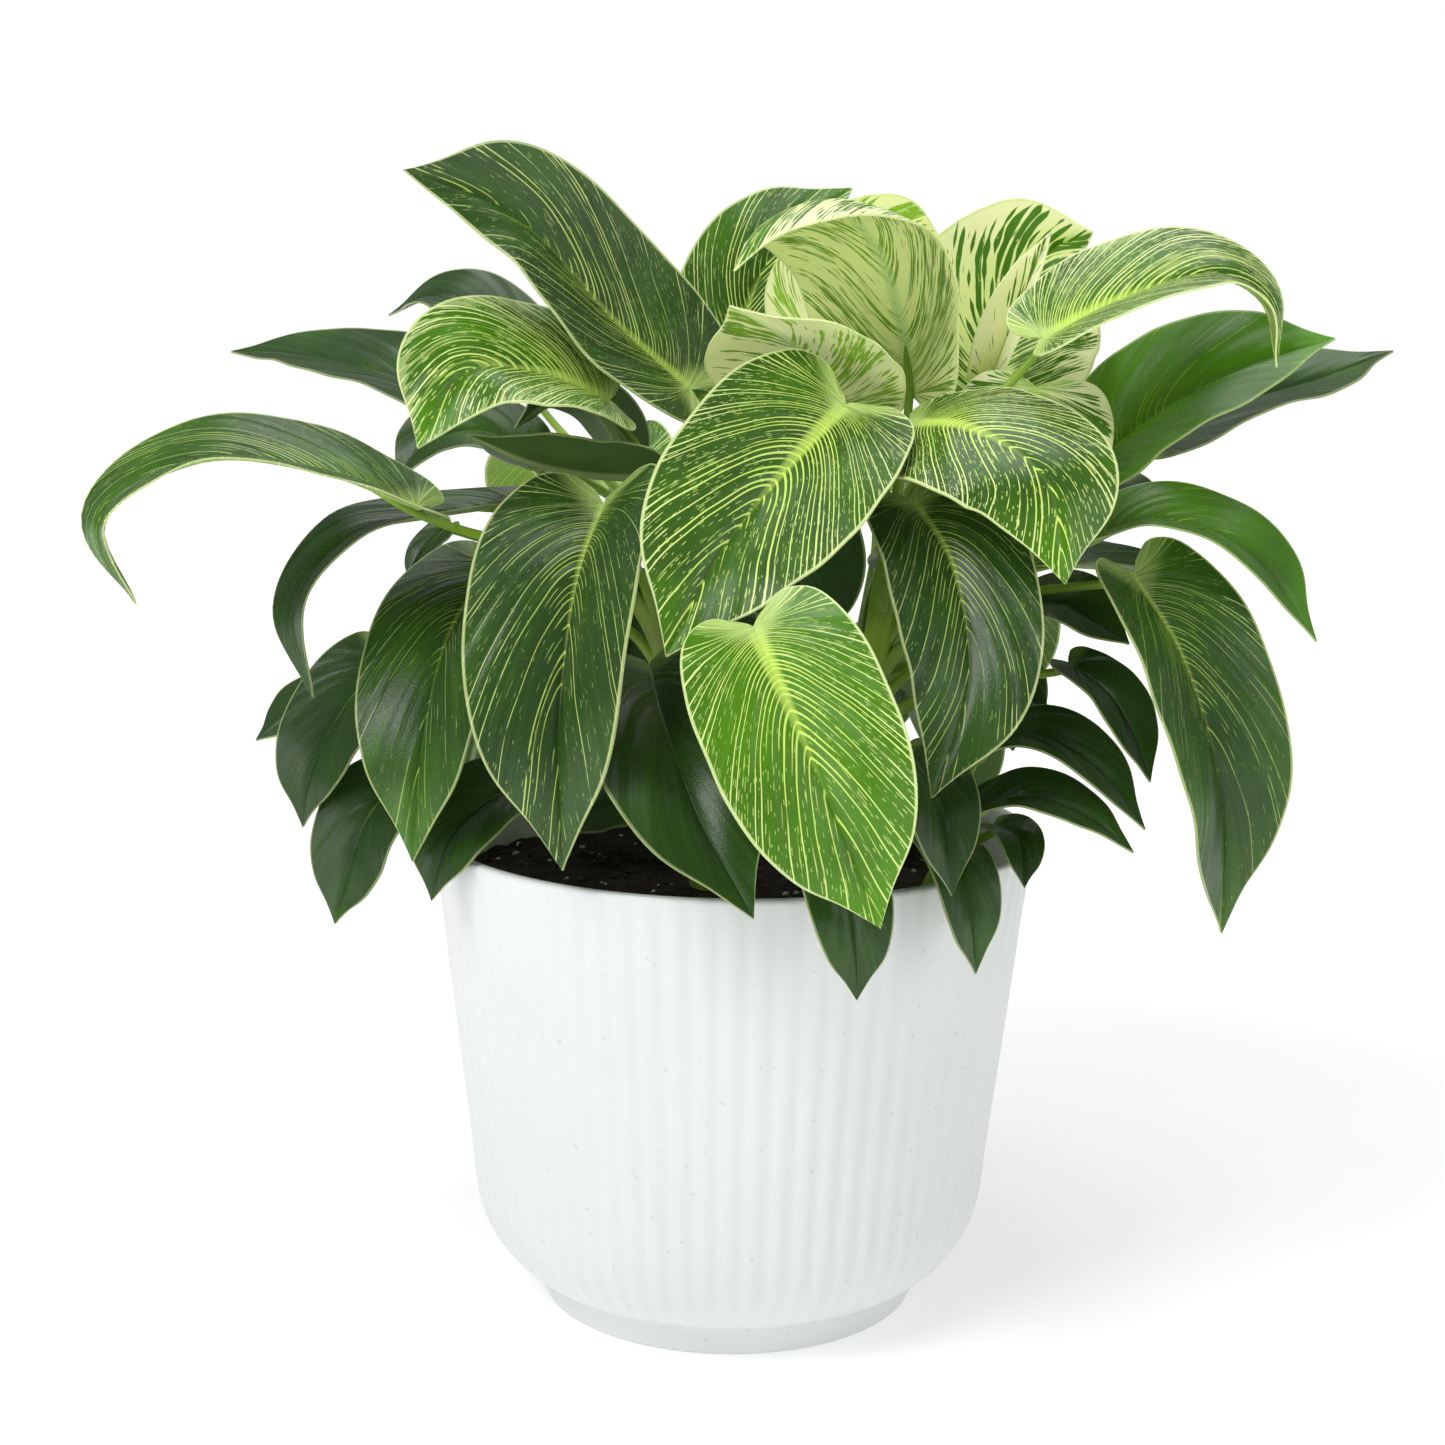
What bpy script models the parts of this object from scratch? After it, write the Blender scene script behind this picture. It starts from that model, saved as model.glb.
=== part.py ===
"""A potted birkin philodendron: a ribbed white pot, soil, leafy shoots and heart-shaped leaf blades.

Sizes in the tables are millimetres and are turned to metres when a mesh is made. X is to the right,
Y is to the back and Z is up, with the middle of the pot's foot at the origin.
"""

import math
import random

import bmesh
import bpy
from mathutils import Vector

MM = 0.001

# Pot
RIM_RADIUS = 90.0
RIM_HEIGHT = 143.0
FOOT_RADIUS = 57.0
FOOT_TOP_RADIUS = 58.8
FOOT_HEIGHT = 9.5
RIB_COUNT = 72
RIB_DEPTH = 0.7
INNER_FLOOR = 8.0
POT_SIDE = ((61.5, 10.5), (68.5, 15.5), (75.0, 24.5), (78.0, 44.0), (84.0, 95.0), (89.4, 138.0))
POT_INSIDE = ((86.0, RIM_HEIGHT), (74.0, 45.0), (57.0, INNER_FLOOR))

# Soil
SOIL_TOP = 127.0
SOIL_GAP = 0.4
SOIL_SIDES = 36
SOIL_RINGS = (14.0, 34.0, 54.0, 70.0)
SOIL_ROUGHNESS = 0.9
HOLE_FLOOR = 104.0
HOLE_GAP = 0.35
HOLE_SIDES = 12

# Shoots and leafstalks
STEM_SIDES = 8
STEM_START = HOLE_FLOOR + 0.4
STEM_STRAIGHT = 130.0
STALK_SIDES = 5
STALK_RINGS = 6
STALK_RADIUS = 1.7
STALK_TIP_RADIUS = 1.3
STALK_SHEATH = 1.45
STALK_GAP = 0.3
STALK_REACH = 1.5

# Leaf blades
BLADE_THICKNESS = 0.8
BLADE_COLUMNS = 2
SPINE_POINTS = 33
VEIN_SWEEP = 1.25

# One row for each main side vein: where it leaves the midrib, as a share of the blade's length, and
# where it meets the margin, as shares of the length and of the half width.
VEIN_ROWS = (
    (0.0, (-0.03, 0.12)),
    (0.012, (-0.065, 0.42)),
    (0.05, (-0.01, 0.76)),
    (0.14, (0.17, 0.98)),
    (0.27, (0.38, 1.0)),
    (0.43, (0.58, 0.93)),
    (0.61, (0.76, 0.70)),
    (0.80, (0.90, 0.33)),
    (1.0, (1.0, 0.0)),
)

# Each shoot: the point where its stem leaves the soil, the points up to its top, and the stem's radius
# at the foot and at the top.
SHOOTS = {
    "shoot_front_left": ((-8, -14), ((-13, -18, 160), (-22, -21, 206)), (5.0, 3.6)),
    "shoot_front_right": ((28, -24), ((36, -27, 170), (44, -26, 232)), (5.4, 3.8)),
    "shoot_back_left": ((-10, 20), ((-14, 22, 170), (-18, 20, 236)), (5.0, 3.8)),
    "shoot_back_right": ((26, 20), ((36, 22, 170), (46, 18, 232)), (5.0, 3.8)),
    "shoot_small": ((58, -26), ((61, -27, 138), (64, -28, 149)), (3.8, 2.6)),
}
FRONT_LEFT, FRONT_RIGHT, BACK_LEFT, BACK_RIGHT, SMALL = SHOOTS

# Colour, roughness and metallic value of each material.
LOOKS = {
    "plain_leaf": ((0.022, 0.085, 0.018, 1.0), 0.38, 0.0),
    "striped_leaf": ((0.06, 0.19, 0.035, 1.0), 0.36, 0.0),
    "bright_leaf": ((0.15, 0.36, 0.05, 1.0), 0.38, 0.0),
    "pale_leaf": ((0.42, 0.56, 0.2, 1.0), 0.42, 0.0),
    "new_leaf": ((0.78, 0.82, 0.52, 1.0), 0.45, 0.0),
    "leafstalk": ((0.2, 0.42, 0.05, 1.0), 0.42, 0.0),
    "soil": ((0.02, 0.014, 0.009, 1.0), 0.95, 0.0),
    "white_pot": ((0.82, 0.84, 0.82, 1.0), 0.35, 0.0),
}


class Leaf:
    """One leaf: the shoot and height its stalk leaves from, its midrib, its width and how it is turned.

    The face is the direction that the upper side looks to at the base. Fold and curl, in degrees, are
    how far the left and the right half rise from flat at the midrib, and how much more by the margin.
    """

    def __init__(self, shoot, root, midrib, width, face, look, fold=(12, 12), curl=(10, 10)):
        self.shoot = shoot
        self.root = root
        self.midrib = midrib
        self.half = width / 2
        self.face = face
        self.look = look
        self.fold = fold
        self.curl = curl


LEAVES = {
    "leaf_tall_left": Leaf(
        BACK_LEFT, 222, ((-14, 4, 272), (-36, 0, 291), (-63, -14, 320), (-91, -38, 331)),
        50, (0.5, -0.8, 0.3), "striped_leaf", fold=(25, 8),
    ),
    "leaf_back_centre": Leaf(
        BACK_LEFT, 232, ((0, 42, 268), (3, 52, 297), (16, 68, 319), (36, 84, 334)),
        46, (-0.1, -0.9, 0.4), "striped_leaf",
    ),
    "leaf_back_arch": Leaf(
        BACK_RIGHT, 226, ((27, 34, 282), (33, 44, 300), (48, 48, 312), (66, 38, 312)),
        48, (-0.3, 0.9, 0.3), "pale_leaf",
    ),
    "leaf_hood": Leaf(
        FRONT_RIGHT, 230, ((50, -2, 271), (47, 5, 292), (38, -2, 315), (22, -24, 324), (7, -44, 318), (-2, -56, 305)),
        52, (0.15, 0.97, 0.1), "pale_leaf", fold=(-34, 2), curl=(-18, 6),
    ),
    "leaf_turned": Leaf(
        FRONT_RIGHT, 226, ((28, -10, 268), (20, -20, 281), (9, -36, 290), (-3, -50, 296)),
        56, (0, 0.9, 0.3), "pale_leaf", fold=(-40, 10),
    ),
    "leaf_centre": Leaf(
        FRONT_RIGHT, 226, ((29, -42, 270), (13, -58, 254), (-5, -78, 232), (-18, -95, 208)),
        57, (0, -0.85, 0.5), "bright_leaf",
    ),
    "leaf_pale_right": Leaf(
        BACK_RIGHT, 220, ((72, 20, 268), (79, 28, 292), (91, 28, 312), (104, 20, 319)),
        64, (-0.1, -0.9, 0.4), "pale_leaf",
    ),
    "leaf_new_spear": Leaf(
        BACK_RIGHT, 228, ((74, 10, 275), (81, 8, 295), (89, 2, 318)),
        22, (-0.3, -0.8, 0.3), "new_leaf", fold=(50, 50),
    ),
    "leaf_right_arch": Leaf(
        FRONT_RIGHT, 222, ((84, -25, 288), (106, -23, 299), (130, -20, 306), (146, -20, 299), (151, -20, 281)),
        48, (-0.1, -0.35, 0.9), "bright_leaf",
    ),
    "leaf_pale_inner": Leaf(
        BACK_RIGHT, 206, ((86, -4, 274), (84, -8, 258), (82, -12, 242), (80, -16, 226)),
        48, (-0.1, -0.95, 0.2), "pale_leaf",
    ),
    "leaf_right_front": Leaf(
        FRONT_RIGHT, 214, ((47, -35, 265), (63, -51, 264), (80, -70, 252), (85, -80, 226)),
        52, (0.3, -0.4, 0.9), "striped_leaf", fold=(12, -30),
    ),
    "leaf_broad_right": Leaf(
        BACK_RIGHT, 200, ((104, 8, 250), (122, 4, 266), (145, -2, 280), (170, -8, 289)),
        54, (-0.35, -0.5, 0.8), "plain_leaf",
    ),
    "leaf_far_right": Leaf(
        BACK_RIGHT, 192, ((125, 24, 256), (150, 32, 268), (178, 40, 276), (202, 45, 285)),
        44, (-0.2, -0.4, 0.9), "plain_leaf",
    ),
    "leaf_right_low": Leaf(
        FRONT_RIGHT, 196, ((98, -32, 234), (118, -38, 239), (140, -46, 231), (158, -53, 208)),
        34, (0.05, -0.3, 0.95), "plain_leaf",
    ),
    "leaf_right_under": Leaf(
        BACK_RIGHT, 184, ((86, 4, 222), (108, 8, 221), (130, 8, 217), (150, 5, 213)),
        34, (0, -0.15, 1), "plain_leaf",
    ),
    "leaf_hanging_right": Leaf(
        FRONT_RIGHT, 186, ((108, -48, 225), (121, -58, 203), (132, -62, 168), (136, -54, 126)),
        46, (0.35, -0.85, 0.3), "striped_leaf", fold=(10, 25),
    ),
    "leaf_mid_right": Leaf(
        FRONT_RIGHT, 176, ((80, -30, 214), (92, -40, 215), (108, -48, 206)),
        26, (0, -0.5, 0.85), "plain_leaf",
    ),
    "leaf_slim_right": Leaf(
        FRONT_RIGHT, 168, ((92, -44, 200), (102, -53, 193), (108, -58, 183), (113, -61, 170)),
        20, (0.3, -0.6, 0.7), "plain_leaf",
    ),
    "leaf_low_arch": Leaf(
        SMALL, 145, ((65, -42, 172), (82, -53, 181), (98, -60, 174), (112, -62, 157)),
        23, (0, -0.4, 0.9), "plain_leaf",
    ),
    "leaf_lower_arch": Leaf(
        SMALL, 140, ((65, -54, 160), (80, -62, 166), (96, -67, 161), (108, -68, 152)),
        20, (0, -0.4, 0.9), "plain_leaf",
    ),
    "leaf_rim_round": Leaf(
        SMALL, 134, ((74, -35, 152), (80, -46, 150), (81, -53, 138)),
        14, (0.3, -0.8, 0.5), "plain_leaf",
    ),
    "leaf_over_rim_right": Leaf(
        SMALL, 136, ((54, -56, 152), (59, -74, 149), (63, -81, 137), (65, -80, 121)),
        22, (0.3, -0.8, 0.5), "plain_leaf",
    ),
    "leaf_low_front": Leaf(
        FRONT_RIGHT, 150, ((46, -58, 178), (52, -76, 171), (55, -87, 159), (57, -90, 145)),
        24, (0.3, -0.8, 0.5), "plain_leaf",
    ),
    "leaf_front_right": Leaf(
        FRONT_RIGHT, 206, ((48, -42, 244), (58, -59, 227), (61, -76, 199), (51, -90, 171)),
        42, (0.15, -0.85, 0.5), "striped_leaf",
    ),
    "leaf_front_bright": Leaf(
        FRONT_RIGHT, 160, ((4, -95, 216), (12, -103, 199), (24, -111, 173), (37, -112, 142)),
        51, (-0.05, -0.9, 0.4), "bright_leaf",
    ),
    "leaf_over_rim_front": Leaf(
        FRONT_RIGHT, 140, ((22, -80, 157), (28, -98, 150), (31, -104, 136), (32, -102, 120)),
        24, (0.1, -0.8, 0.6), "plain_leaf",
    ),
    "leaf_front_left": Leaf(
        FRONT_LEFT, 202, ((-37, -38, 242), (-43, -64, 222), (-46, -84, 188), (-45, -88, 150)),
        56, (-0.05, -0.85, 0.5), "striped_leaf", fold=(42, 5),
    ),
    "leaf_front_plain": Leaf(
        FRONT_LEFT, 176, ((-24, -44, 198), (-19, -70, 186), (-9, -94, 165), (5, -108, 143)),
        48, (0.05, -0.7, 0.7), "plain_leaf",
    ),
    "leaf_left_hanging": Leaf(
        FRONT_LEFT, 186, ((-70, -12, 222), (-81, -35, 203), (-86, -54, 174), (-88, -60, 145)),
        45, (-0.4, -0.8, 0.4), "striped_leaf",
    ),
    "leaf_left_edge": Leaf(
        BACK_LEFT, 150, ((-104, 2, 192), (-116, -2, 177), (-125, -6, 159), (-128, -6, 142)),
        31, (-0.3, -0.8, 0.4), "plain_leaf",
    ),
    "leaf_left_far_low": Leaf(
        BACK_LEFT, 144, ((-118, 24, 174), (-132, 27, 172), (-148, 26, 162)),
        26, (-0.1, -0.5, 0.85), "plain_leaf",
    ),
    "leaf_left_outer_low": Leaf(
        FRONT_LEFT, 146, ((-98, -2, 156), (-109, -9, 144), (-118, -12, 114)),
        30, (-0.4, -0.8, 0.3), "plain_leaf",
    ),
    "leaf_left_over_rim": Leaf(
        FRONT_LEFT, 150, ((-60, -28, 161), (-72, -40, 156), (-80, -50, 147), (-84, -52, 132)),
        27, (-0.2, -0.7, 0.6), "plain_leaf",
    ),
    "leaf_long_left": Leaf(
        FRONT_LEFT, 200, ((-87, -47, 241), (-112, -55, 251), (-142, -62, 254), (-167, -68, 239), (-160, -66, 216)),
        42, (0, -0.25, 0.95), "striped_leaf",
    ),
    "leaf_narrow_left": Leaf(
        FRONT_LEFT, 194, ((-62, -16, 240), (-85, -25, 237), (-107, -39, 232), (-121, -48, 213), (-116, -52, 189)),
        25, (-0.1, -0.2, 0.95), "plain_leaf",
    ),
    "leaf_dark_left": Leaf(
        BACK_LEFT, 212, ((-84, 40, 262), (-108, 50, 273), (-136, 62, 278), (-162, 70, 280)),
        42, (0, -0.35, 0.95), "plain_leaf",
    ),
    "leaf_behind_left": Leaf(
        BACK_LEFT, 204, ((-66, 66, 270), (-82, 78, 291), (-98, 86, 298), (-115, 94, 292)),
        36, (0, -0.3, 0.95), "plain_leaf",
    ),
    "leaf_pale_left": Leaf(
        BACK_LEFT, 226, ((-37, -12, 269), (-56, -24, 277), (-75, -38, 277), (-87, -48, 257)),
        48, (0, -0.6, 0.8), "bright_leaf",
    ),
    "leaf_under_left": Leaf(
        BACK_LEFT, 216, ((-26, -12, 247), (-43, -16, 248), (-60, -22, 252), (-76, -28, 260)),
        36, (0, 0.35, 0.9), "plain_leaf",
    ),
    "leaf_shade_left": Leaf(
        BACK_LEFT, 220, ((-34, 18, 252), (-42, 16, 264), (-54, 12, 268), (-66, 8, 260)),
        26, (0.3, 0.6, 0.7), "plain_leaf",
    ),
    "leaf_inner_left": Leaf(
        BACK_LEFT, 190, ((-60, 16, 250), (-75, 17, 258), (-90, 14, 256), (-102, 8, 244)),
        30, (0, -0.4, 0.9), "plain_leaf",
    ),
    "leaf_inner_dark": Leaf(
        BACK_RIGHT, 180, ((8, 0, 246), (12, -6, 234), (18, -10, 218), (22, -14, 196)),
        44, (0, -0.8, 0.6), "plain_leaf",
    ),
    "leaf_inner_right": Leaf(
        BACK_RIGHT, 188, ((104, 34, 232), (120, 38, 239), (138, 42, 236)),
        28, (0, -0.4, 0.9), "plain_leaf",
    ),
    "leaf_new_white": Leaf(
        BACK_RIGHT, 230, ((44, 24, 262), (41, 26, 284), (38, 24, 305)),
        22, (-0.2, -0.9, 0.3), "new_leaf", fold=(50, 50),
    ),
    "leaf_rear_upper_right": Leaf(
        BACK_RIGHT, 210, ((46, 62, 240), (58, 92, 248), (70, 122, 236), (78, 140, 208)),
        56, (0.3, 0.5, 0.85), "striped_leaf",
    ),
    "leaf_rear_upper_centre": Leaf(
        BACK_LEFT, 208, ((8, 72, 248), (12, 104, 256), (16, 136, 242), (18, 154, 212)),
        58, (0, 0.5, 0.85), "striped_leaf",
    ),
    "leaf_rear_upper_left": Leaf(
        BACK_LEFT, 198, ((-40, 66, 238), (-52, 96, 246), (-64, 124, 232), (-70, 140, 204)),
        56, (-0.3, 0.5, 0.85), "bright_leaf",
    ),
    "leaf_rear_outer_left": Leaf(
        BACK_LEFT, 180, ((-58, 62, 200), (-72, 88, 198), (-84, 108, 180), (-90, 118, 152)),
        50, (-0.4, 0.4, 0.85), "plain_leaf",
    ),
    "leaf_rear_outer_right": Leaf(
        BACK_RIGHT, 176, ((60, 62, 206), (78, 86, 204), (92, 106, 186), (98, 116, 158)),
        50, (0.4, 0.4, 0.85), "striped_leaf",
    ),
    "leaf_rear_lower_right": Leaf(
        BACK_RIGHT, 164, ((30, 64, 190), (40, 94, 188), (48, 116, 168), (50, 124, 138)),
        54, (0, 0.5, 0.85), "plain_leaf",
    ),
    "leaf_rear_lower_left": Leaf(
        BACK_LEFT, 160, ((-22, 64, 186), (-28, 96, 184), (-34, 118, 164), (-36, 124, 134)),
        54, (0, 0.5, 0.85), "plain_leaf",
    ),
    "leaf_rear_side_left": Leaf(
        BACK_LEFT, 148, ((-50, 42, 176), (-70, 60, 172), (-84, 74, 154), (-90, 80, 128)),
        44, (-0.4, 0.4, 0.85), "plain_leaf",
    ),
    "leaf_rear_side_right": Leaf(
        BACK_RIGHT, 148, ((50, 44, 172), (64, 64, 167), (74, 78, 149), (76, 84, 125)),
        42, (0.4, 0.4, 0.85), "plain_leaf",
    ),
}


def spline(points, count):
    """Points along a smooth curve through the given ones."""
    points = [Vector(p) for p in points]
    points = [2 * points[0] - points[1], *points, 2 * points[-1] - points[-2]]
    spans = len(points) - 3
    found = []
    for step in range(count):
        place = step / (count - 1) * spans
        first = min(int(place), spans - 1)
        t = place - first
        a, b, c, d = points[first:first + 4]
        found.append(0.5 * (2 * b + (c - a) * t + (2 * a - 5 * b + 4 * c - d) * t**2
                            + (3 * b - a - 3 * c + d) * t**3))
    return found


def spread(path, count):
    """The same path with its points evenly apart, and its length."""
    reach = [0.0]
    for a, b in zip(path, path[1:]):
        reach.append(reach[-1] + (b - a).length)
    found = []
    span = 0
    for step in range(count):
        goal = reach[-1] * step / (count - 1)
        while span < len(path) - 2 and reach[span + 1] < goal:
            span += 1
        share = (goal - reach[span]) / (reach[span + 1] - reach[span])
        found.append(path[span].lerp(path[span + 1], share))
    return found, reach[-1]


def directions(path):
    """The direction of the path at each of its points."""
    last = len(path) - 1
    return [(path[min(i + 1, last)] - path[max(i - 1, 0)]).normalized() for i in range(last + 1)]


def carried(normal, ways):
    """A direction square to the path, carried along it without twist."""
    found = []
    for way in ways:
        normal = (normal - normal.dot(way) * way).normalized()
        found.append(normal.copy())
    return found


class Spine:
    """A leaf's midrib with its length, and the directions along, above and beside it."""

    def __init__(self, leaf):
        self.points, self.length = spread(spline(leaf.midrib, 97), SPINE_POINTS)
        self.along = directions(self.points)
        self.above = carried(Vector(leaf.face), self.along)
        self.leaf = leaf

    def place(self, x, y):
        """The point of the blade that is x along its length and y to the right of the midrib."""
        leaf = self.leaf
        last = SPINE_POINTS - 1
        at = min(max(x, 0.0), 1.0) * last
        first = min(int(at), last - 1)
        share = at - first
        point = self.points[first].lerp(self.points[first + 1], share)
        if x < 0:
            point = self.points[0] + self.along[0] * (x * self.length)
        above = self.above[first].lerp(self.above[first + 1], share).normalized()
        along = self.along[first].lerp(self.along[first + 1], share).normalized()
        side = 1 if y >= 0 else -1
        fold = math.radians(leaf.fold[side > 0])
        curl = math.radians(leaf.curl[side > 0]) / leaf.half
        out = abs(y)
        beside = (math.sin(fold + curl * out) - math.sin(fold)) / curl
        rise = (math.cos(fold) - math.cos(fold + curl * out)) / curl
        return point + along.cross(above) * (side * beside) + above * rise


def blade_points(spine):
    """The rows of blade points from the base to the tip, each from the left margin to the right."""
    rows = []
    for start, (end, reach) in VEIN_ROWS[:-1]:
        row = []
        for column in range(-BLADE_COLUMNS, BLADE_COLUMNS + 1):
            share = abs(column) / BLADE_COLUMNS
            x = start + (end - start) * share**VEIN_SWEEP
            y = reach * spine.leaf.half * share * (1 if column >= 0 else -1)
            row.append(spine.place(x, y))
        rows.append(row)
    return rows, spine.place(1.0, 0.0)


def blade_mesh(name, spine):
    """The sheet of a leaf blade, split into triangles that follow its side veins."""
    rows, tip = blade_points(spine)
    form = bmesh.new()
    grid = [[form.verts.new(point * MM) for point in row] for row in rows]
    for upper, lower in zip(grid, grid[1:]):
        for k in range(2 * BLADE_COLUMNS):
            a, b, c, d = upper[k], upper[k + 1], lower[k], lower[k + 1]
            if k < BLADE_COLUMNS:
                form.faces.new((a, b, d))
                form.faces.new((a, d, c))
            else:
                form.faces.new((a, b, c))
                form.faces.new((b, d, c))
    point = form.verts.new(tip * MM)
    for a, b in zip(grid[-1], grid[-1][1:]):
        form.faces.new((a, b, point))
    return finished(form, name)


def finished(form, name):
    """A smooth-shaded mesh from the form."""
    mesh = bpy.data.meshes.new(name)
    form.to_mesh(mesh)
    form.free()
    mesh.shade_smooth()
    mesh.set_sharp_from_angle(angle=math.radians(40))
    return mesh


def add_object(name, mesh, material):
    """An object of the scene that shows the mesh in the material."""
    mesh.materials.clear()
    mesh.materials.append(material)
    thing = bpy.data.objects.new(name, mesh)
    bpy.context.scene.collection.objects.link(thing)
    return thing


def make_material(name):
    colour, roughness, metallic = LOOKS[name]
    material = bpy.data.materials.new(name)
    material.use_nodes = True
    shader = material.node_tree.nodes["Principled BSDF"]
    shader.inputs["Base Color"].default_value = colour
    shader.inputs["Roughness"].default_value = roughness
    shader.inputs["Metallic"].default_value = metallic
    material.diffuse_color = colour
    return material


def make_leaf(name, leaf, material):
    thing = add_object(name, blade_mesh(name, Spine(leaf)), material)
    body = thing.modifiers.new("thickness", "SOLIDIFY")
    body.thickness = BLADE_THICKNESS * MM
    body.offset = 0.0
    return thing


def tube_mesh(name, path, radii, sides):
    """A closed tube along the path, in metres."""
    form = bmesh.new()
    ways = directions(path)
    start = Vector((0.3, 0.2, 0.9)) if abs(ways[0].z) < 0.8 else Vector((1.0, 0.1, 0.0))
    rings = []
    for point, way, normal, radius in zip(path, ways, carried(start, ways), radii):
        side = way.cross(normal)
        turns = [2 * math.pi * k / sides for k in range(sides)]
        rings.append([
            form.verts.new((point + radius * (normal * math.cos(t) + side * math.sin(t))) * MM)
            for t in turns
        ])
    for lower, upper in zip(rings, rings[1:]):
        for k in range(sides):
            n = (k + 1) % sides
            form.faces.new((lower[k], lower[n], upper[n], upper[k]))
    form.faces.new(rings[0][::-1])
    form.faces.new(rings[-1])
    bmesh.ops.triangulate(form, faces=form.faces[:])
    return finished(form, name)


def stem_path(shoot):
    (x, y), points, _ = SHOOTS[shoot]
    return [Vector((x, y, STEM_START)), Vector((x, y, STEM_STRAIGHT)), *(Vector(p) for p in points)]


def stem_axis(shoot, height):
    """The middle of the stem at a height."""
    path = stem_path(shoot)
    for low, high in zip(path, path[1:]):
        if height <= high.z:
            return low.lerp(high, (height - low.z) / (high.z - low.z))
    return path[-1]


def stalk_path(leaf):
    """The leafstalk's curve, from inside the stem to just under the base of the blade."""
    spine = Spine(leaf)
    above = spine.above[0]
    start = stem_axis(leaf.shoot, leaf.root)
    arrive = ((spine.points[0] - start).normalized() + 0.4 * spine.along[0]).normalized()
    if arrive.dot(above) < 0:
        arrive = (arrive - arrive.dot(above) * above).normalized()
    droop = max(0.0, -math.tan(math.radians(min(leaf.fold))))
    across = math.sqrt(max(0.0, 1 - arrive.dot(above) ** 2))
    lift = BLADE_THICKNESS / 2 + STALK_GAP + STALK_TIP_RADIUS * (across + droop)
    end = spine.points[0] + spine.along[0] * STALK_REACH - above * lift
    reach = end - start
    size = reach.length
    flat = Vector((reach.x, reach.y, 0)).normalized()
    leave = (Vector((0, 0, 1)) + 0.35 * flat).normalized()
    knots = (start, start + leave * size * 0.4, end - arrive * size * 0.35, end)
    curve = []
    for step in range(33):
        t = step / 32
        u = 1 - t
        weights = (u**3, 3 * u * u * t, 3 * u * t * t, t**3)
        curve.append(sum((w * k for w, k in zip(weights, knots)), Vector()))
    return spread(curve, STALK_RINGS)[0]


def stalk_radii():
    """Radii along a leafstalk, which is widest at its sheath."""
    radii = []
    for ring in range(STALK_RINGS):
        share = ring / (STALK_RINGS - 1)
        if share < 0.33:
            radii.append(STALK_RADIUS * (STALK_SHEATH - (STALK_SHEATH - 1) * 3 * share))
        else:
            radii.append(STALK_RADIUS + (STALK_TIP_RADIUS - STALK_RADIUS) * (share - 0.33) / 0.67)
    return radii


def join_solid(thing, others, operation="UNION"):
    """Applies one Boolean with all the others to the object, and removes them."""
    group = bpy.data.collections.new(thing.name + "_others")
    bpy.context.scene.collection.children.link(group)
    for other in others:
        bpy.context.scene.collection.objects.unlink(other)
        group.objects.link(other)
    joint = thing.modifiers.new("join", "BOOLEAN")
    joint.operand_type = "COLLECTION"
    joint.collection = group
    joint.operation = operation
    joint.solver = "EXACT"
    bpy.context.view_layer.update()
    graph = bpy.context.evaluated_depsgraph_get()
    mesh = bpy.data.meshes.new_from_object(thing.evaluated_get(graph))
    thing.modifiers.remove(joint)
    thing.data = mesh
    for other in list(group.objects):
        bpy.data.objects.remove(other, do_unlink=True)
    bpy.data.collections.remove(group)


def make_shoot(name, material):
    """A stem with all its leafstalks, grown as one piece."""
    _, _, (foot, top) = SHOOTS[name]
    path = stem_path(name)
    radii = [foot, foot] + [foot + (top - foot) * (k + 1) / (len(path) - 2) for k in range(len(path) - 2)]
    stem = add_object(name, tube_mesh(name, path, radii, STEM_SIDES), material)
    stalks = []
    for leaf_name, leaf in LEAVES.items():
        if leaf.shoot == name:
            label = leaf_name + "_stalk"
            mesh = tube_mesh(label, stalk_path(leaf), stalk_radii(), STALK_SIDES)
            stalks.append(add_object(label, mesh, material))
    join_solid(stem, stalks)
    return stem


def ring_of(form, radius, height, count, depth=0.0, turn=0.0):
    """A ring of corners, with every other one set in by the depth."""
    corners = []
    for k in range(count):
        angle = 2 * math.pi * k / count + turn
        r = radius - (depth if k % 2 else 0.0)
        corners.append(form.verts.new(Vector((r * math.cos(angle), r * math.sin(angle), height)) * MM))
    return corners


def bridge(form, lower, upper):
    """Faces between two rings with as many corners each."""
    count = len(lower)
    for k in range(count):
        n = (k + 1) % count
        form.faces.new((lower[k], lower[n], upper[n], upper[k]))


def halve(form, coarse, fine, coarse_below):
    """Triangles between a ring and one with twice its corners."""
    count = len(coarse)
    for k in range(count):
        n = (k + 1) % count
        middle, here, after = fine[2 * k + 1], fine[2 * k], fine[(2 * k + 2) % len(fine)]
        fans = ((coarse[k], middle, here), (coarse[n], after, middle), (coarse[k], coarse[n], middle))
        for fan in fans:
            form.faces.new(fan if coarse_below else fan[::-1])


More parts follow.
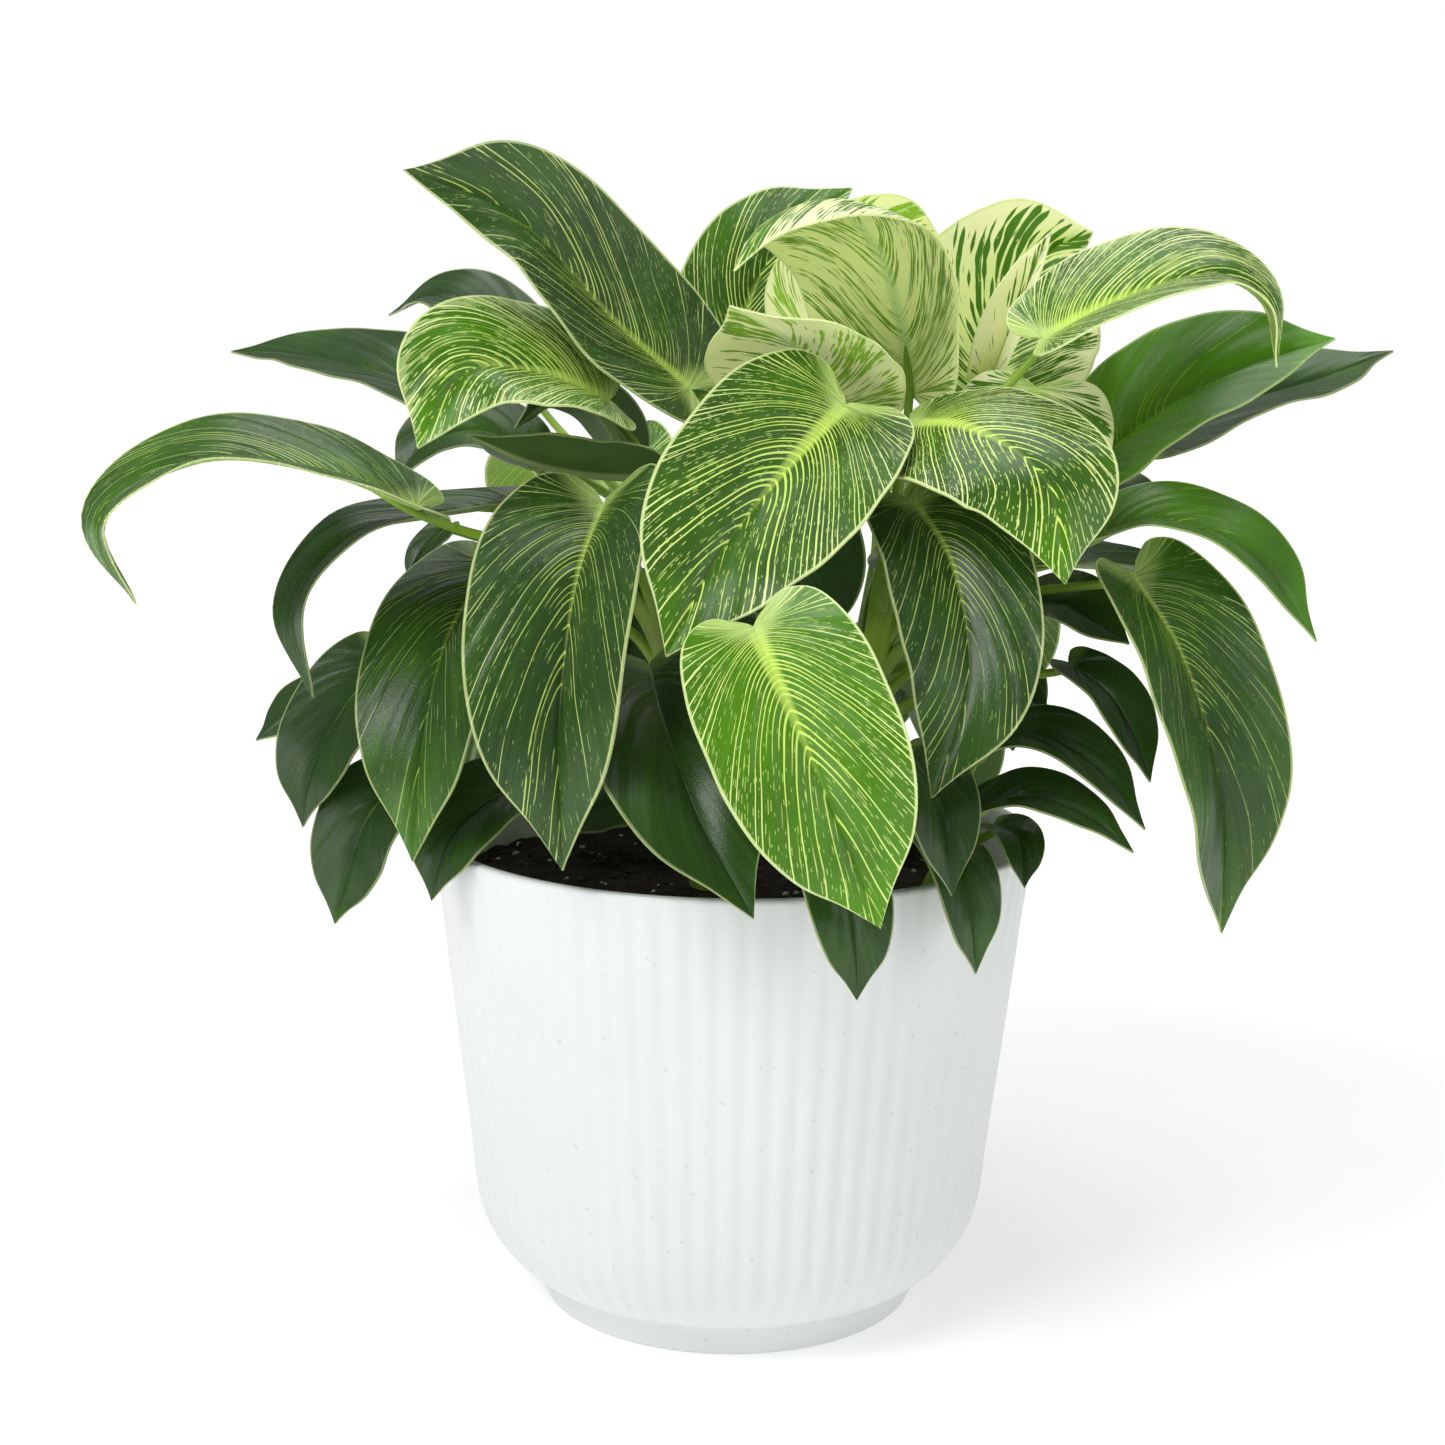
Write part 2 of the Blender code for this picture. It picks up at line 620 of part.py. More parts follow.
def make_pot(material):
    """The ribbed pot: a plain foot, a rounded shoulder, a ribbed side and a plain inside."""
    form = bmesh.new()
    foot = ring_of(form, FOOT_RADIUS, 0.0, RIB_COUNT)
    foot_top = ring_of(form, FOOT_TOP_RADIUS, FOOT_HEIGHT, RIB_COUNT)
    form.faces.new(foot[::-1])
    bridge(form, foot, foot_top)
    side = [ring_of(form, r, z, 2 * RIB_COUNT, RIB_DEPTH) for r, z in POT_SIDE]
    side.append(ring_of(form, RIM_RADIUS, RIM_HEIGHT, 2 * RIB_COUNT, RIB_DEPTH / 2))
    halve(form, foot_top, side[0], True)
    for lower, upper in zip(side, side[1:]):
        bridge(form, lower, upper)
    inside = [ring_of(form, r, z, RIB_COUNT) for r, z in POT_INSIDE]
    halve(form, inside[0], side[-1], False)
    for upper, lower in zip(inside, inside[1:]):
        bridge(form, upper, lower)
    form.faces.new(inside[-1])
    bmesh.ops.recalc_face_normals(form, faces=form.faces[:])
    return add_object("pot", finished(form, "pot"), material)


def make_soil(material):
    """The soil: a filling with a rough top, and a plain hole for each stem."""
    chance = random.Random(11)
    form = bmesh.new()
    (top_radius, _), (mid_radius, mid_height), (low_radius, _) = POT_INSIDE
    slope = (top_radius - mid_radius) / (RIM_HEIGHT - mid_height)
    edge = mid_radius + slope * (SOIL_TOP - mid_height) - SOIL_GAP
    rings = [
        ring_of(form, low_radius - SOIL_GAP, INNER_FLOOR + SOIL_GAP, SOIL_SIDES),
        ring_of(form, mid_radius - SOIL_GAP, mid_height, SOIL_SIDES),
        ring_of(form, edge - SOIL_GAP, SOIL_TOP, SOIL_SIDES),
    ]
    form.faces.new(rings[0][::-1])
    for radius in reversed(SOIL_RINGS):
        ring = ring_of(form, radius, SOIL_TOP, SOIL_SIDES)
        for corner in ring:
            corner.co.z += chance.uniform(-SOIL_ROUGHNESS, SOIL_ROUGHNESS) * MM
        rings.append(ring)
    for lower, upper in zip(rings, rings[1:]):
        bridge(form, lower, upper)
    form.faces.new(rings[-1])
    bmesh.ops.triangulate(form, faces=form.faces[:])
    bmesh.ops.recalc_face_normals(form, faces=form.faces[:])
    soil = add_object("soil", finished(form, "soil"), material)
    holes = []
    for name, ((x, y), _, (foot, _)) in SHOOTS.items():
        path = [Vector((x, y, z)) for z in (HOLE_FLOOR, SOIL_TOP + 10)]
        mesh = tube_mesh(name + "_hole", path, [foot + HOLE_GAP] * 2, HOLE_SIDES)
        holes.append(add_object(name + "_hole", mesh, material))
    join_solid(soil, holes, "DIFFERENCE")
    return soil


def main():
    for thing in list(bpy.data.objects):
        bpy.data.objects.remove(thing, do_unlink=True)
    materials = {name: make_material(name) for name in LOOKS}
    make_pot(materials["white_pot"])
    make_soil(materials["soil"])
    for name in SHOOTS:
        make_shoot(name, materials["leafstalk"])
    for name, leaf in LEAVES.items():
        make_leaf(name, leaf, materials[leaf.look])


main()
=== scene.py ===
"""The looks of a potted birkin philodendron: striped leaves on lime stalks, soil and a ribbed white pot.

Sizes in the tables are millimetres and are turned to metres when a mesh is made. X is to the right,
Y is to the back and Z is up, with the middle of the pot's foot at the origin.
"""

import math
import random

import bpy
import numpy as np
from mathutils import Matrix, Vector, noise


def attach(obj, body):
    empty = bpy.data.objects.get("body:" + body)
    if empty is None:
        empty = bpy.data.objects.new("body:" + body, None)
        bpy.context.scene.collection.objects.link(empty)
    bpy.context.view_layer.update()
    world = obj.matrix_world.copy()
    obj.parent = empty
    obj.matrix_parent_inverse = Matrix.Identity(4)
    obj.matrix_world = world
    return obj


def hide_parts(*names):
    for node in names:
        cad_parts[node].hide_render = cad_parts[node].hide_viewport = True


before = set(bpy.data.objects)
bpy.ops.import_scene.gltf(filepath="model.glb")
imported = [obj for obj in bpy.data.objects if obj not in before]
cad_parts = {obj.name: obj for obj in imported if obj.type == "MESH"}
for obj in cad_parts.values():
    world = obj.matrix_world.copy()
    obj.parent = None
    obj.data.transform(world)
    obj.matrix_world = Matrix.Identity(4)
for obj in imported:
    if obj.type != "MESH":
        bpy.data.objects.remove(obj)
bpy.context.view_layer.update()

MM = 0.001

# Leaf blades
CURVE_POINTS = 193
VEIN_HALVINGS = 26
BLADE_ROWS = 56
BLADE_COLUMNS = 26
BLADE_CROWDING = 1.55
BLADE_THICKNESS = 0.55
SPINE_POINTS = 65
ROW_START = 2.1
ROW_SWEEP = 1.12
VEIN_SWEEP = 1.5
BLADE_TIP = 0.004
KEEL = 0.75
KEEL_WIDTH = 0.9
GROOVE = 0.22
TYPICAL_HALF = 28
MARGIN_WAVE = 0.7
SWELL = 1.7

# What the blades' maps hold: millimetres to a unit on the vein map, units from one leaf's markings to the
# next one's, and millimetres to a unit for a leaf's length
VEIN_MAP = 100
VEIN_STEP = 7
LENGTH_UNIT = 200

# Leafstalks and stems
STALK_SIDES = 20
STALK_RINGS = 30
STALK_POINTS = 60
SUNK_POINTS = 8
STEM_POINTS = 40
STALK_RADIUS = 1.75
STALK_TIP_RADIUS = 1.25
STALK_SHEATH = 1.9
STALK_CHANNEL = 0.16
STALK_REACH = 1.5
STALK_INTO_BLADE = 0.12
STEM_FOOT = 120.0
STEM_BEND = 130.0
STEM_CROWN = 0.55

# Pot
RIM_HEIGHT = 143.0
FOOT_RADIUS = 57.0
RIB_COUNT = 72
RIB_STEPS = 8
RIB_DEPTH = 0.5
RIB_START = 10.6
RIB_END = RIM_HEIGHT - 0.4
RIB_FADE_LOW = 3.0
RIB_FADE_HIGH = 3.2
POT_SKIN = 1.2

# The outside of the pot above its foot: radius and height
POT_SIDE = (
    (61.4, 10.3), (63.4, 11.1), (66.0, 12.8), (68.8, 15.6), (71.4, 18.9), (73.6, 22.4), (75.3, 26.0),
    (76.7, 31.0), (77.6, 37.0), (78.3, 45.0), (79.4, 55.0), (81.2, 70.0), (82.7, 83.0), (84.1, 95.0),
    (85.6, 108.0), (86.9, 120.0), (88.4, 131.0), (89.3, 138.0), (89.8, 141.2),
)

# The whole turned profile, from the foot up the outside, over the rim and down the inside
POT_PROFILE = (
    (FOOT_RADIUS - 0.3, 0.3), (FOOT_RADIUS + 0.1, 1.2), (58.2, 6.5), (58.7, 8.6), (59.6, 9.5), (60.4, 9.9),
    *POT_SIDE,
    (89.8, 142.3), (89.3, 142.85), (88.3, 143.0), (87.3, 142.85), (86.7, 142.2), (86.3, 140.6),
    (85.4, 132.0), (84.6, 124.0), (80.8, 92.0), (74.6, 45.0), (70.0, 22.0), (57.0, 8.0),
)

# Soil
SOIL_TOP = 127.0
SOIL_RADIUS = 83.6
SOIL_FLOOR = 112.0
SOIL_SIDES = 180
SOIL_RINGS = 44
SOIL_RING_WIDTH = 1.8
SOIL_EDGE = 74
LITTER_RADIUS = 80

# The lumps that the loose bits are copied from: how flat they are, their seed and how rough they are
LUMP_KINDS = 4
LUMPS = {"lump": ((1, 0.85, 0.75), 5.0, 0.3), "chip": ((1.6, 0.7, 0.32), 9.0, 0.45)}

# The loose bits on the soil: their lumps, how many, their sizes, their seed, how deep they sit, how far they
# keep from the stems, and their surface's name, dark and light colour, grain and roughness
LITTER = {
    "perlite": ("lump", 110, (0.5, 1.3), 3, 0.2, 3.0,
                ("perlite_grains", (0.30, 0.29, 0.26), (0.62, 0.61, 0.56), 0.8, 0.85)),
    "bark": ("chip", 170, (1.0, 2.6), 5, 0.1, 4.5,
             ("bark_chips", (0.012, 0.007, 0.004), (0.07, 0.04, 0.022), 0.5, 0.8)),
    "crumbs": ("lump", 420, (0.5, 1.5), 8, 0.35, 2.0,
               ("soil_crumbs", (0.006, 0.005, 0.003), (0.035, 0.025, 0.016), 0.6, 0.9)),
}

# The blade's outline: shares of its length and of its half width, from the notch at the base to the tip.
# Places round it are measured on a leaf whose half width is this share of its length.
OUTLINE_SLENDER = 0.27
OUTLINE = (
    (-0.03, 0.12), (-0.065, 0.42), (-0.01, 0.76), (0.17, 0.98), (0.38, 1.0),
    (0.58, 0.92), (0.755, 0.67), (0.888, 0.28), (1.0, 0.0),
)

# Each shoot: the point where its stem leaves the soil, the points up to its top, and the stem's radius
# at the foot and at the top.
SHOOTS = {
    "shoot_front_left": ((-8, -14), ((-13, -18, 160), (-22, -21, 206)), (5.0, 3.6)),
    "shoot_front_right": ((28, -24), ((36, -27, 170), (44, -26, 232)), (5.4, 3.8)),
    "shoot_back_left": ((-10, 20), ((-14, 22, 170), (-18, 20, 236)), (5.0, 3.8)),
    "shoot_back_right": ((26, 20), ((36, 22, 170), (46, 18, 232)), (5.0, 3.8)),
    "shoot_small": ((58, -26), ((61, -27, 138), (64, -28, 149)), (3.8, 2.6)),
}
FRONT_LEFT, FRONT_RIGHT, BACK_LEFT, BACK_RIGHT, SMALL = SHOOTS


class Leaf:
    """One leaf: the shoot and height its stalk leaves from, its midrib, its width and how it is turned.

    The face is the direction that the upper side looks to at the base. Fold and curl, in degrees, are
    how far the left and the right half rise from flat at the midrib, and how much more by the margin.
    """

    def __init__(self, shoot, root, midrib, width, face, look="plain_leaf", fold=(12, 12), curl=(10, 10)):
        self.shoot = shoot
        self.root = root
        self.midrib = midrib
        self.half = width / 2
        self.face = face
        self.look = look
        self.fold = fold
        self.curl = curl


LEAVES = {
    "leaf_tall_left": Leaf(
        BACK_LEFT, 222, ((-14, 4, 272), (-36, 0, 291), (-63, -14, 320), (-91, -38, 331)),
        50, (0.5, -0.8, 0.3), "striped_leaf", fold=(25, 8)),
    "leaf_back_centre": Leaf(
        BACK_LEFT, 232, ((0, 42, 268), (3, 52, 297), (16, 68, 319), (36, 84, 334)),
        46, (-0.1, -0.9, 0.4), "striped_leaf"),
    "leaf_back_arch": Leaf(
        BACK_RIGHT, 226, ((27, 34, 282), (33, 44, 300), (48, 48, 312), (66, 38, 312)),
        48, (-0.3, 0.9, 0.3), "pale_leaf"),
    "leaf_hood": Leaf(
        FRONT_RIGHT, 230,
        ((50, -2, 271), (47, 5, 292), (38, -2, 315), (22, -24, 324), (7, -44, 318), (-2, -56, 305)),
        52, (0.15, 0.97, 0.1), "pale_leaf", fold=(-34, 2), curl=(-18, 6)),
    "leaf_turned": Leaf(
        FRONT_RIGHT, 226, ((28, -10, 268), (20, -20, 281), (9, -36, 290), (-3, -50, 296)),
        56, (0, 0.9, 0.3), "pale_leaf", fold=(-40, 10)),
    "leaf_centre": Leaf(
        FRONT_RIGHT, 226, ((29, -42, 270), (13, -58, 254), (-5, -78, 232), (-18, -95, 208)),
        57, (0, -0.85, 0.5), "bright_leaf"),
    "leaf_pale_right": Leaf(
        BACK_RIGHT, 220, ((72, 20, 268), (79, 28, 292), (91, 28, 312), (104, 20, 319)),
        64, (-0.1, -0.9, 0.4), "pale_leaf"),
    "leaf_new_spear": Leaf(
        BACK_RIGHT, 228, ((74, 10, 275), (81, 8, 295), (89, 2, 318)),
        22, (-0.3, -0.8, 0.3), "new_leaf", fold=(50, 50)),
    "leaf_right_arch": Leaf(
        FRONT_RIGHT, 222,
        ((84, -25, 288), (106, -23, 299), (130, -20, 306), (146, -20, 299), (151, -20, 281)),
        48, (-0.1, -0.35, 0.9), "bright_leaf"),
    "leaf_pale_inner": Leaf(
        BACK_RIGHT, 206, ((86, -4, 274), (84, -8, 258), (82, -12, 242), (80, -16, 226)),
        48, (-0.1, -0.95, 0.2), "pale_leaf"),
    "leaf_right_front": Leaf(
        FRONT_RIGHT, 214, ((47, -35, 265), (63, -51, 264), (80, -70, 252), (85, -80, 226)),
        52, (0.3, -0.4, 0.9), "striped_leaf", fold=(12, -30)),
    "leaf_broad_right": Leaf(
        BACK_RIGHT, 200, ((104, 8, 250), (122, 4, 266), (145, -2, 280), (170, -8, 289)),
        54, (-0.35, -0.5, 0.8)),
    "leaf_far_right": Leaf(
        BACK_RIGHT, 192, ((125, 24, 256), (150, 32, 268), (178, 40, 276), (202, 45, 285)),
        44, (-0.2, -0.4, 0.9)),
    "leaf_right_low": Leaf(
        FRONT_RIGHT, 196, ((98, -32, 234), (118, -38, 239), (140, -46, 231), (158, -53, 208)),
        34, (0.05, -0.3, 0.95)),
    "leaf_right_under": Leaf(
        BACK_RIGHT, 184, ((86, 4, 222), (108, 8, 221), (130, 8, 217), (150, 5, 213)),
        34, (0, -0.15, 1)),
    "leaf_hanging_right": Leaf(
        FRONT_RIGHT, 186, ((108, -48, 225), (121, -58, 203), (132, -62, 168), (136, -54, 126)),
        46, (0.35, -0.85, 0.3), "striped_leaf", fold=(10, 25)),
    "leaf_mid_right": Leaf(
        FRONT_RIGHT, 176, ((80, -30, 214), (92, -40, 215), (108, -48, 206)),
        26, (0, -0.5, 0.85)),
    "leaf_slim_right": Leaf(
        FRONT_RIGHT, 168, ((92, -44, 200), (102, -53, 193), (108, -58, 183), (113, -61, 170)),
        20, (0.3, -0.6, 0.7)),
    "leaf_low_arch": Leaf(
        SMALL, 145, ((65, -42, 172), (82, -53, 181), (98, -60, 174), (112, -62, 157)),
        23, (0, -0.4, 0.9)),
    "leaf_lower_arch": Leaf(
        SMALL, 140, ((65, -54, 160), (80, -62, 166), (96, -67, 161), (108, -68, 152)),
        20, (0, -0.4, 0.9)),
    "leaf_rim_round": Leaf(
        SMALL, 134, ((74, -35, 152), (80, -46, 150), (81, -53, 138)),
        14, (0.3, -0.8, 0.5)),
    "leaf_over_rim_right": Leaf(
        SMALL, 136, ((54, -56, 152), (59, -74, 149), (63, -81, 137), (65, -80, 121)),
        22, (0.3, -0.8, 0.5)),
    "leaf_low_front": Leaf(
        FRONT_RIGHT, 150, ((46, -58, 178), (52, -76, 171), (55, -87, 159), (57, -90, 145)),
        24, (0.3, -0.8, 0.5)),
    "leaf_front_right": Leaf(
        FRONT_RIGHT, 206, ((48, -42, 244), (58, -59, 227), (61, -76, 199), (51, -90, 171)),
        42, (0.15, -0.85, 0.5), "striped_leaf"),
    "leaf_front_bright": Leaf(
        FRONT_RIGHT, 160, ((4, -95, 216), (12, -103, 199), (24, -111, 173), (37, -112, 142)),
        51, (-0.05, -0.9, 0.4), "bright_leaf"),
    "leaf_over_rim_front": Leaf(
        FRONT_RIGHT, 140, ((22, -80, 157), (28, -98, 150), (31, -104, 136), (32, -102, 120)),
        24, (0.1, -0.8, 0.6)),
    "leaf_front_left": Leaf(
        FRONT_LEFT, 202, ((-37, -38, 242), (-43, -64, 222), (-46, -84, 188), (-45, -88, 150)),
        56, (-0.05, -0.85, 0.5), "striped_leaf", fold=(42, 5)),
    "leaf_front_plain": Leaf(
        FRONT_LEFT, 176, ((-24, -44, 198), (-19, -70, 186), (-9, -94, 165), (5, -108, 143)),
        48, (0.05, -0.7, 0.7)),
    "leaf_left_hanging": Leaf(
        FRONT_LEFT, 186, ((-70, -12, 222), (-81, -35, 203), (-86, -54, 174), (-88, -60, 145)),
        45, (-0.4, -0.8, 0.4), "striped_leaf"),
    "leaf_left_edge": Leaf(
        BACK_LEFT, 150, ((-104, 2, 192), (-116, -2, 177), (-125, -6, 159), (-128, -6, 142)),
        31, (-0.3, -0.8, 0.4)),
    "leaf_left_far_low": Leaf(
        BACK_LEFT, 144, ((-118, 24, 174), (-132, 27, 172), (-148, 26, 162)),
        26, (-0.1, -0.5, 0.85)),
    "leaf_left_outer_low": Leaf(
        FRONT_LEFT, 146, ((-98, -2, 156), (-109, -9, 144), (-118, -12, 114)),
        30, (-0.4, -0.8, 0.3)),
    "leaf_left_over_rim": Leaf(
        FRONT_LEFT, 150, ((-60, -28, 161), (-72, -40, 156), (-80, -50, 147), (-84, -52, 132)),
        27, (-0.2, -0.7, 0.6)),
    "leaf_long_left": Leaf(
        FRONT_LEFT, 200,
        ((-87, -47, 241), (-112, -55, 251), (-142, -62, 254), (-167, -68, 239), (-160, -66, 216)),
        42, (0, -0.25, 0.95), "striped_leaf"),
    "leaf_narrow_left": Leaf(
        FRONT_LEFT, 194,
        ((-62, -16, 240), (-85, -25, 237), (-107, -39, 232), (-121, -48, 213), (-116, -52, 189)),
        25, (-0.1, -0.2, 0.95)),
    "leaf_dark_left": Leaf(
        BACK_LEFT, 212, ((-84, 40, 262), (-108, 50, 273), (-136, 62, 278), (-162, 70, 280)),
        42, (0, -0.35, 0.95)),
    "leaf_behind_left": Leaf(
        BACK_LEFT, 204, ((-66, 66, 270), (-82, 78, 291), (-98, 86, 298), (-115, 94, 292)),
        36, (0, -0.3, 0.95)),
    "leaf_pale_left": Leaf(
        BACK_LEFT, 226, ((-37, -12, 269), (-56, -24, 277), (-75, -38, 277), (-87, -48, 257)),
        48, (0, -0.6, 0.8), "bright_leaf"),
    "leaf_under_left": Leaf(
        BACK_LEFT, 216, ((-26, -12, 247), (-43, -16, 248), (-60, -22, 252), (-76, -28, 260)),
        36, (0, 0.35, 0.9)),
    "leaf_shade_left": Leaf(
        BACK_LEFT, 220, ((-34, 18, 252), (-42, 16, 264), (-54, 12, 268), (-66, 8, 260)),
        26, (0.3, 0.6, 0.7)),
    "leaf_inner_left": Leaf(
        BACK_LEFT, 190, ((-60, 16, 250), (-75, 17, 258), (-90, 14, 256), (-102, 8, 244)),
        30, (0, -0.4, 0.9)),
    "leaf_inner_dark": Leaf(
        BACK_RIGHT, 180, ((8, 0, 246), (12, -6, 234), (18, -10, 218), (22, -14, 196)),
        44, (0, -0.8, 0.6)),
    "leaf_inner_right": Leaf(
        BACK_RIGHT, 188, ((104, 34, 232), (120, 38, 239), (138, 42, 236)),
        28, (0, -0.4, 0.9)),
    "leaf_new_white": Leaf(
        BACK_RIGHT, 230, ((44, 24, 262), (41, 26, 284), (38, 24, 305)),
        22, (-0.2, -0.9, 0.3), "new_leaf", fold=(50, 50)),
    "leaf_rear_upper_right": Leaf(
        BACK_RIGHT, 210, ((46, 62, 240), (58, 92, 248), (70, 122, 236), (78, 140, 208)),
        56, (0.3, 0.5, 0.85), "striped_leaf"),
    "leaf_rear_upper_centre": Leaf(
        BACK_LEFT, 208, ((8, 72, 248), (12, 104, 256), (16, 136, 242), (18, 154, 212)),
        58, (0, 0.5, 0.85), "striped_leaf"),
    "leaf_rear_upper_left": Leaf(
        BACK_LEFT, 198, ((-40, 66, 238), (-52, 96, 246), (-64, 124, 232), (-70, 140, 204)),
        56, (-0.3, 0.5, 0.85), "bright_leaf"),
    "leaf_rear_outer_left": Leaf(
        BACK_LEFT, 180, ((-58, 62, 200), (-72, 88, 198), (-84, 108, 180), (-90, 118, 152)),
        50, (-0.4, 0.4, 0.85)),
    "leaf_rear_outer_right": Leaf(
        BACK_RIGHT, 176, ((60, 62, 206), (78, 86, 204), (92, 106, 186), (98, 116, 158)),
        50, (0.4, 0.4, 0.85), "striped_leaf"),
    "leaf_rear_lower_right": Leaf(
        BACK_RIGHT, 164, ((30, 64, 190), (40, 94, 188), (48, 116, 168), (50, 124, 138)),
        54, (0, 0.5, 0.85)),
    "leaf_rear_lower_left": Leaf(
        BACK_LEFT, 160, ((-22, 64, 186), (-28, 96, 184), (-34, 118, 164), (-36, 124, 134)),
        54, (0, 0.5, 0.85)),
    "leaf_rear_side_left": Leaf(
        BACK_LEFT, 148, ((-50, 42, 176), (-70, 60, 172), (-84, 74, 154), (-90, 80, 128)),
        44, (-0.4, 0.4, 0.85)),
    "leaf_rear_side_right": Leaf(
        BACK_RIGHT, 148, ((50, 44, 172), (64, 64, 167), (74, 78, 149), (76, 84, 125)),
        42, (0.4, 0.4, 0.85)),
}

# Small and half hidden leaves that fill the inside of the plant.
INSIDE_LEAVES = {
    "leaf_low_inside_left": Leaf(
        BACK_LEFT, 138, ((-22, 22, 146), (-38, 24, 143), (-56, 24, 136)),
        28, (0, -0.6, 0.8)),
    "leaf_low_inside_right": Leaf(
        BACK_RIGHT, 138, ((40, 24, 146), (54, 26, 143), (68, 26, 137)),
        28, (0, -0.6, 0.8)),
    "leaf_low_inside_back": Leaf(
        BACK_LEFT, 146, ((2, 34, 154), (6, 50, 158), (8, 66, 151)),
        42, (0, -0.2, 1)),
    "leaf_inside_left": Leaf(
        FRONT_LEFT, 166, ((-46, 0, 190), (-55, -5, 186), (-63, -9, 174), (-66, -11, 162)),
        26, (-0.2, -0.7, 0.7)),
    "leaf_inside_middle": Leaf(
        BACK_LEFT, 178, ((-20, 4, 212), (-27, 2, 206), (-32, 0, 194), (-34, -2, 180)),
        26, (-0.1, -0.8, 0.6)),
    "leaf_inside_centre": Leaf(
        FRONT_RIGHT, 176, ((8, 2, 206), (5, -4, 200), (3, -9, 186), (2, -12, 170)),
        34, (-0.1, -0.8, 0.6)),
    "leaf_inside_right_high": Leaf(
        BACK_RIGHT, 186, ((44, -2, 226), (50, -5, 220), (54, -8, 208), (56, -10, 196)),
        22, (0.1, -0.8, 0.6)),
    "leaf_inside_right": Leaf(
        BACK_RIGHT, 172, ((62, -4, 198), (71, -10, 194), (78, -15, 184), (81, -18, 170)),
        32, (0.2, -0.8, 0.6)),
    "leaf_little_right": Leaf(
        FRONT_RIGHT, 170, ((79, -33, 193), (83, -36, 189), (87, -38, 183)),
        9, (0.3, -0.6, 0.7)),
    "leaf_little_left": Leaf(
        BACK_LEFT, 186, ((-84, 2, 232), (-91, -3, 225), (-96, -8, 216)),
        11, (-0.3, -0.6, 0.7)),
}

# How each leaf has grown, from 0 to 1: how many stripes it has, how fresh its green is, and how much of
# it is cream. A leaf that isn't named takes its look's own values.
GROWTH = {
    "plain_leaf": (0.0, 0.08, 0.0),
    "striped_leaf": (0.42, 0.16, 0.0),
    "bright_leaf": (0.8, 0.6, 0.0),
    "pale_leaf": (0.5, 0.8, 0.42),
    "new_leaf": (0.2, 0.9, 0.97),
}
OWN_GROWTH = {
    "leaf_centre": (0.9, 0.36, 0.0),
    "leaf_front_bright": (0.85, 0.68, 0.0),
    "leaf_pale_left": (1.0, 0.6, 0.1),
    "leaf_right_arch": (1.0, 0.5, 0.10),
    "leaf_right_front": (1.0, 0.4, 0.05),
    "leaf_tall_left": (0.55, 0.22, 0.0),
    "leaf_back_centre": (0.7, 0.45, 0.0),
    "leaf_front_left": (0.40, 0.14, 0.0),
    "leaf_front_right": (0.36, 0.1, 0.0),
    "leaf_left_hanging": (0.2, 0.28, 0.0),
    "leaf_long_left": (0.45, 0.35, 0.0),
    "leaf_hanging_right": (0.25, 0.25, 0.0),
    "leaf_broad_right": (0.06, 0.72, 0.0),
    "leaf_far_right": (0.05, 0.15, 0.0),
    "leaf_right_low": (0.05, 0.5, 0.0),
    "leaf_pale_right": (0.6, 0.85, 0.33),
    "leaf_hood": (0.8, 0.55, 0.27),
    "leaf_turned": (0.7, 0.7, 0.30),
    "leaf_pale_inner": (0.5, 0.85, 0.40),
    "leaf_back_arch": (0.6, 0.8, 0.30),
}


# Making meshes


def deselect():
    """Leaves edit mode with nothing selected."""
    if bpy.context.mode != "OBJECT":
        bpy.ops.object.mode_set(mode="OBJECT")
    bpy.ops.object.select_all(action="DESELECT")


def newest(name):
    """The object that an operator has just added, under its own name."""
    thing = bpy.context.active_object
    thing.name = name
    thing.data.name = name
    return thing


def corners(thing):
    """The places of a mesh's corners, one row each."""
    places = np.empty(len(thing.data.vertices) * 3)
    thing.data.vertices.foreach_get("co", places)
    return places.reshape(-1, 3)


def move_corners(thing, places):
    thing.data.vertices.foreach_set("co", np.asarray(places, np.float32).ravel())
    thing.data.update()


def pick(thing, faces=None, edges=None):
    """Selects just these faces or edges, by a test on each, and leaves edit mode on."""
    bpy.ops.object.mode_set(mode="OBJECT")
    mesh = thing.data
    for group in (mesh.vertices, mesh.edges, mesh.polygons):
        group.foreach_set("select", [False] * len(group))
    if faces:
        for face in mesh.polygons:
            face.select = faces(face)
    if edges:
        for edge in mesh.edges:
            edge.select = edges(*(mesh.vertices[v].co for v in edge.vertices))
    bpy.context.tool_settings.mesh_select_mode = (False, not faces, bool(faces))
    bpy.ops.object.mode_set(mode="EDIT")


def choose(*things):
    """Selects just these objects, the first of them active."""
    deselect()
    for thing in things:
        thing.select_set(True)
    bpy.context.view_layer.objects.active = things[0]


def smooth(thing, angle):
    """Shades smooth, but for edges sharper than the angle in degrees."""
    choose(thing)
    bpy.ops.object.shade_smooth_by_angle(angle=math.radians(angle))


def apply_modifier(thing, kind, **settings):
    choose(thing)
    modifier = thing.modifiers.new(kind.lower(), kind)
    for key, value in settings.items():
        setattr(modifier, key, value)
    bpy.ops.object.modifier_apply(modifier=modifier.name)


def copy_of(blank, name):
    """A copy of a blank with its own mesh."""
    mesh = blank.data.copy()
    mesh.name = name
    thing = bpy.data.objects.new(name, mesh)
    bpy.context.scene.collection.objects.link(thing)
    return thing


def joined(things, name):
    """The things as one mesh under one name."""
    choose(*things)
    bpy.ops.object.join()
    return newest(name)


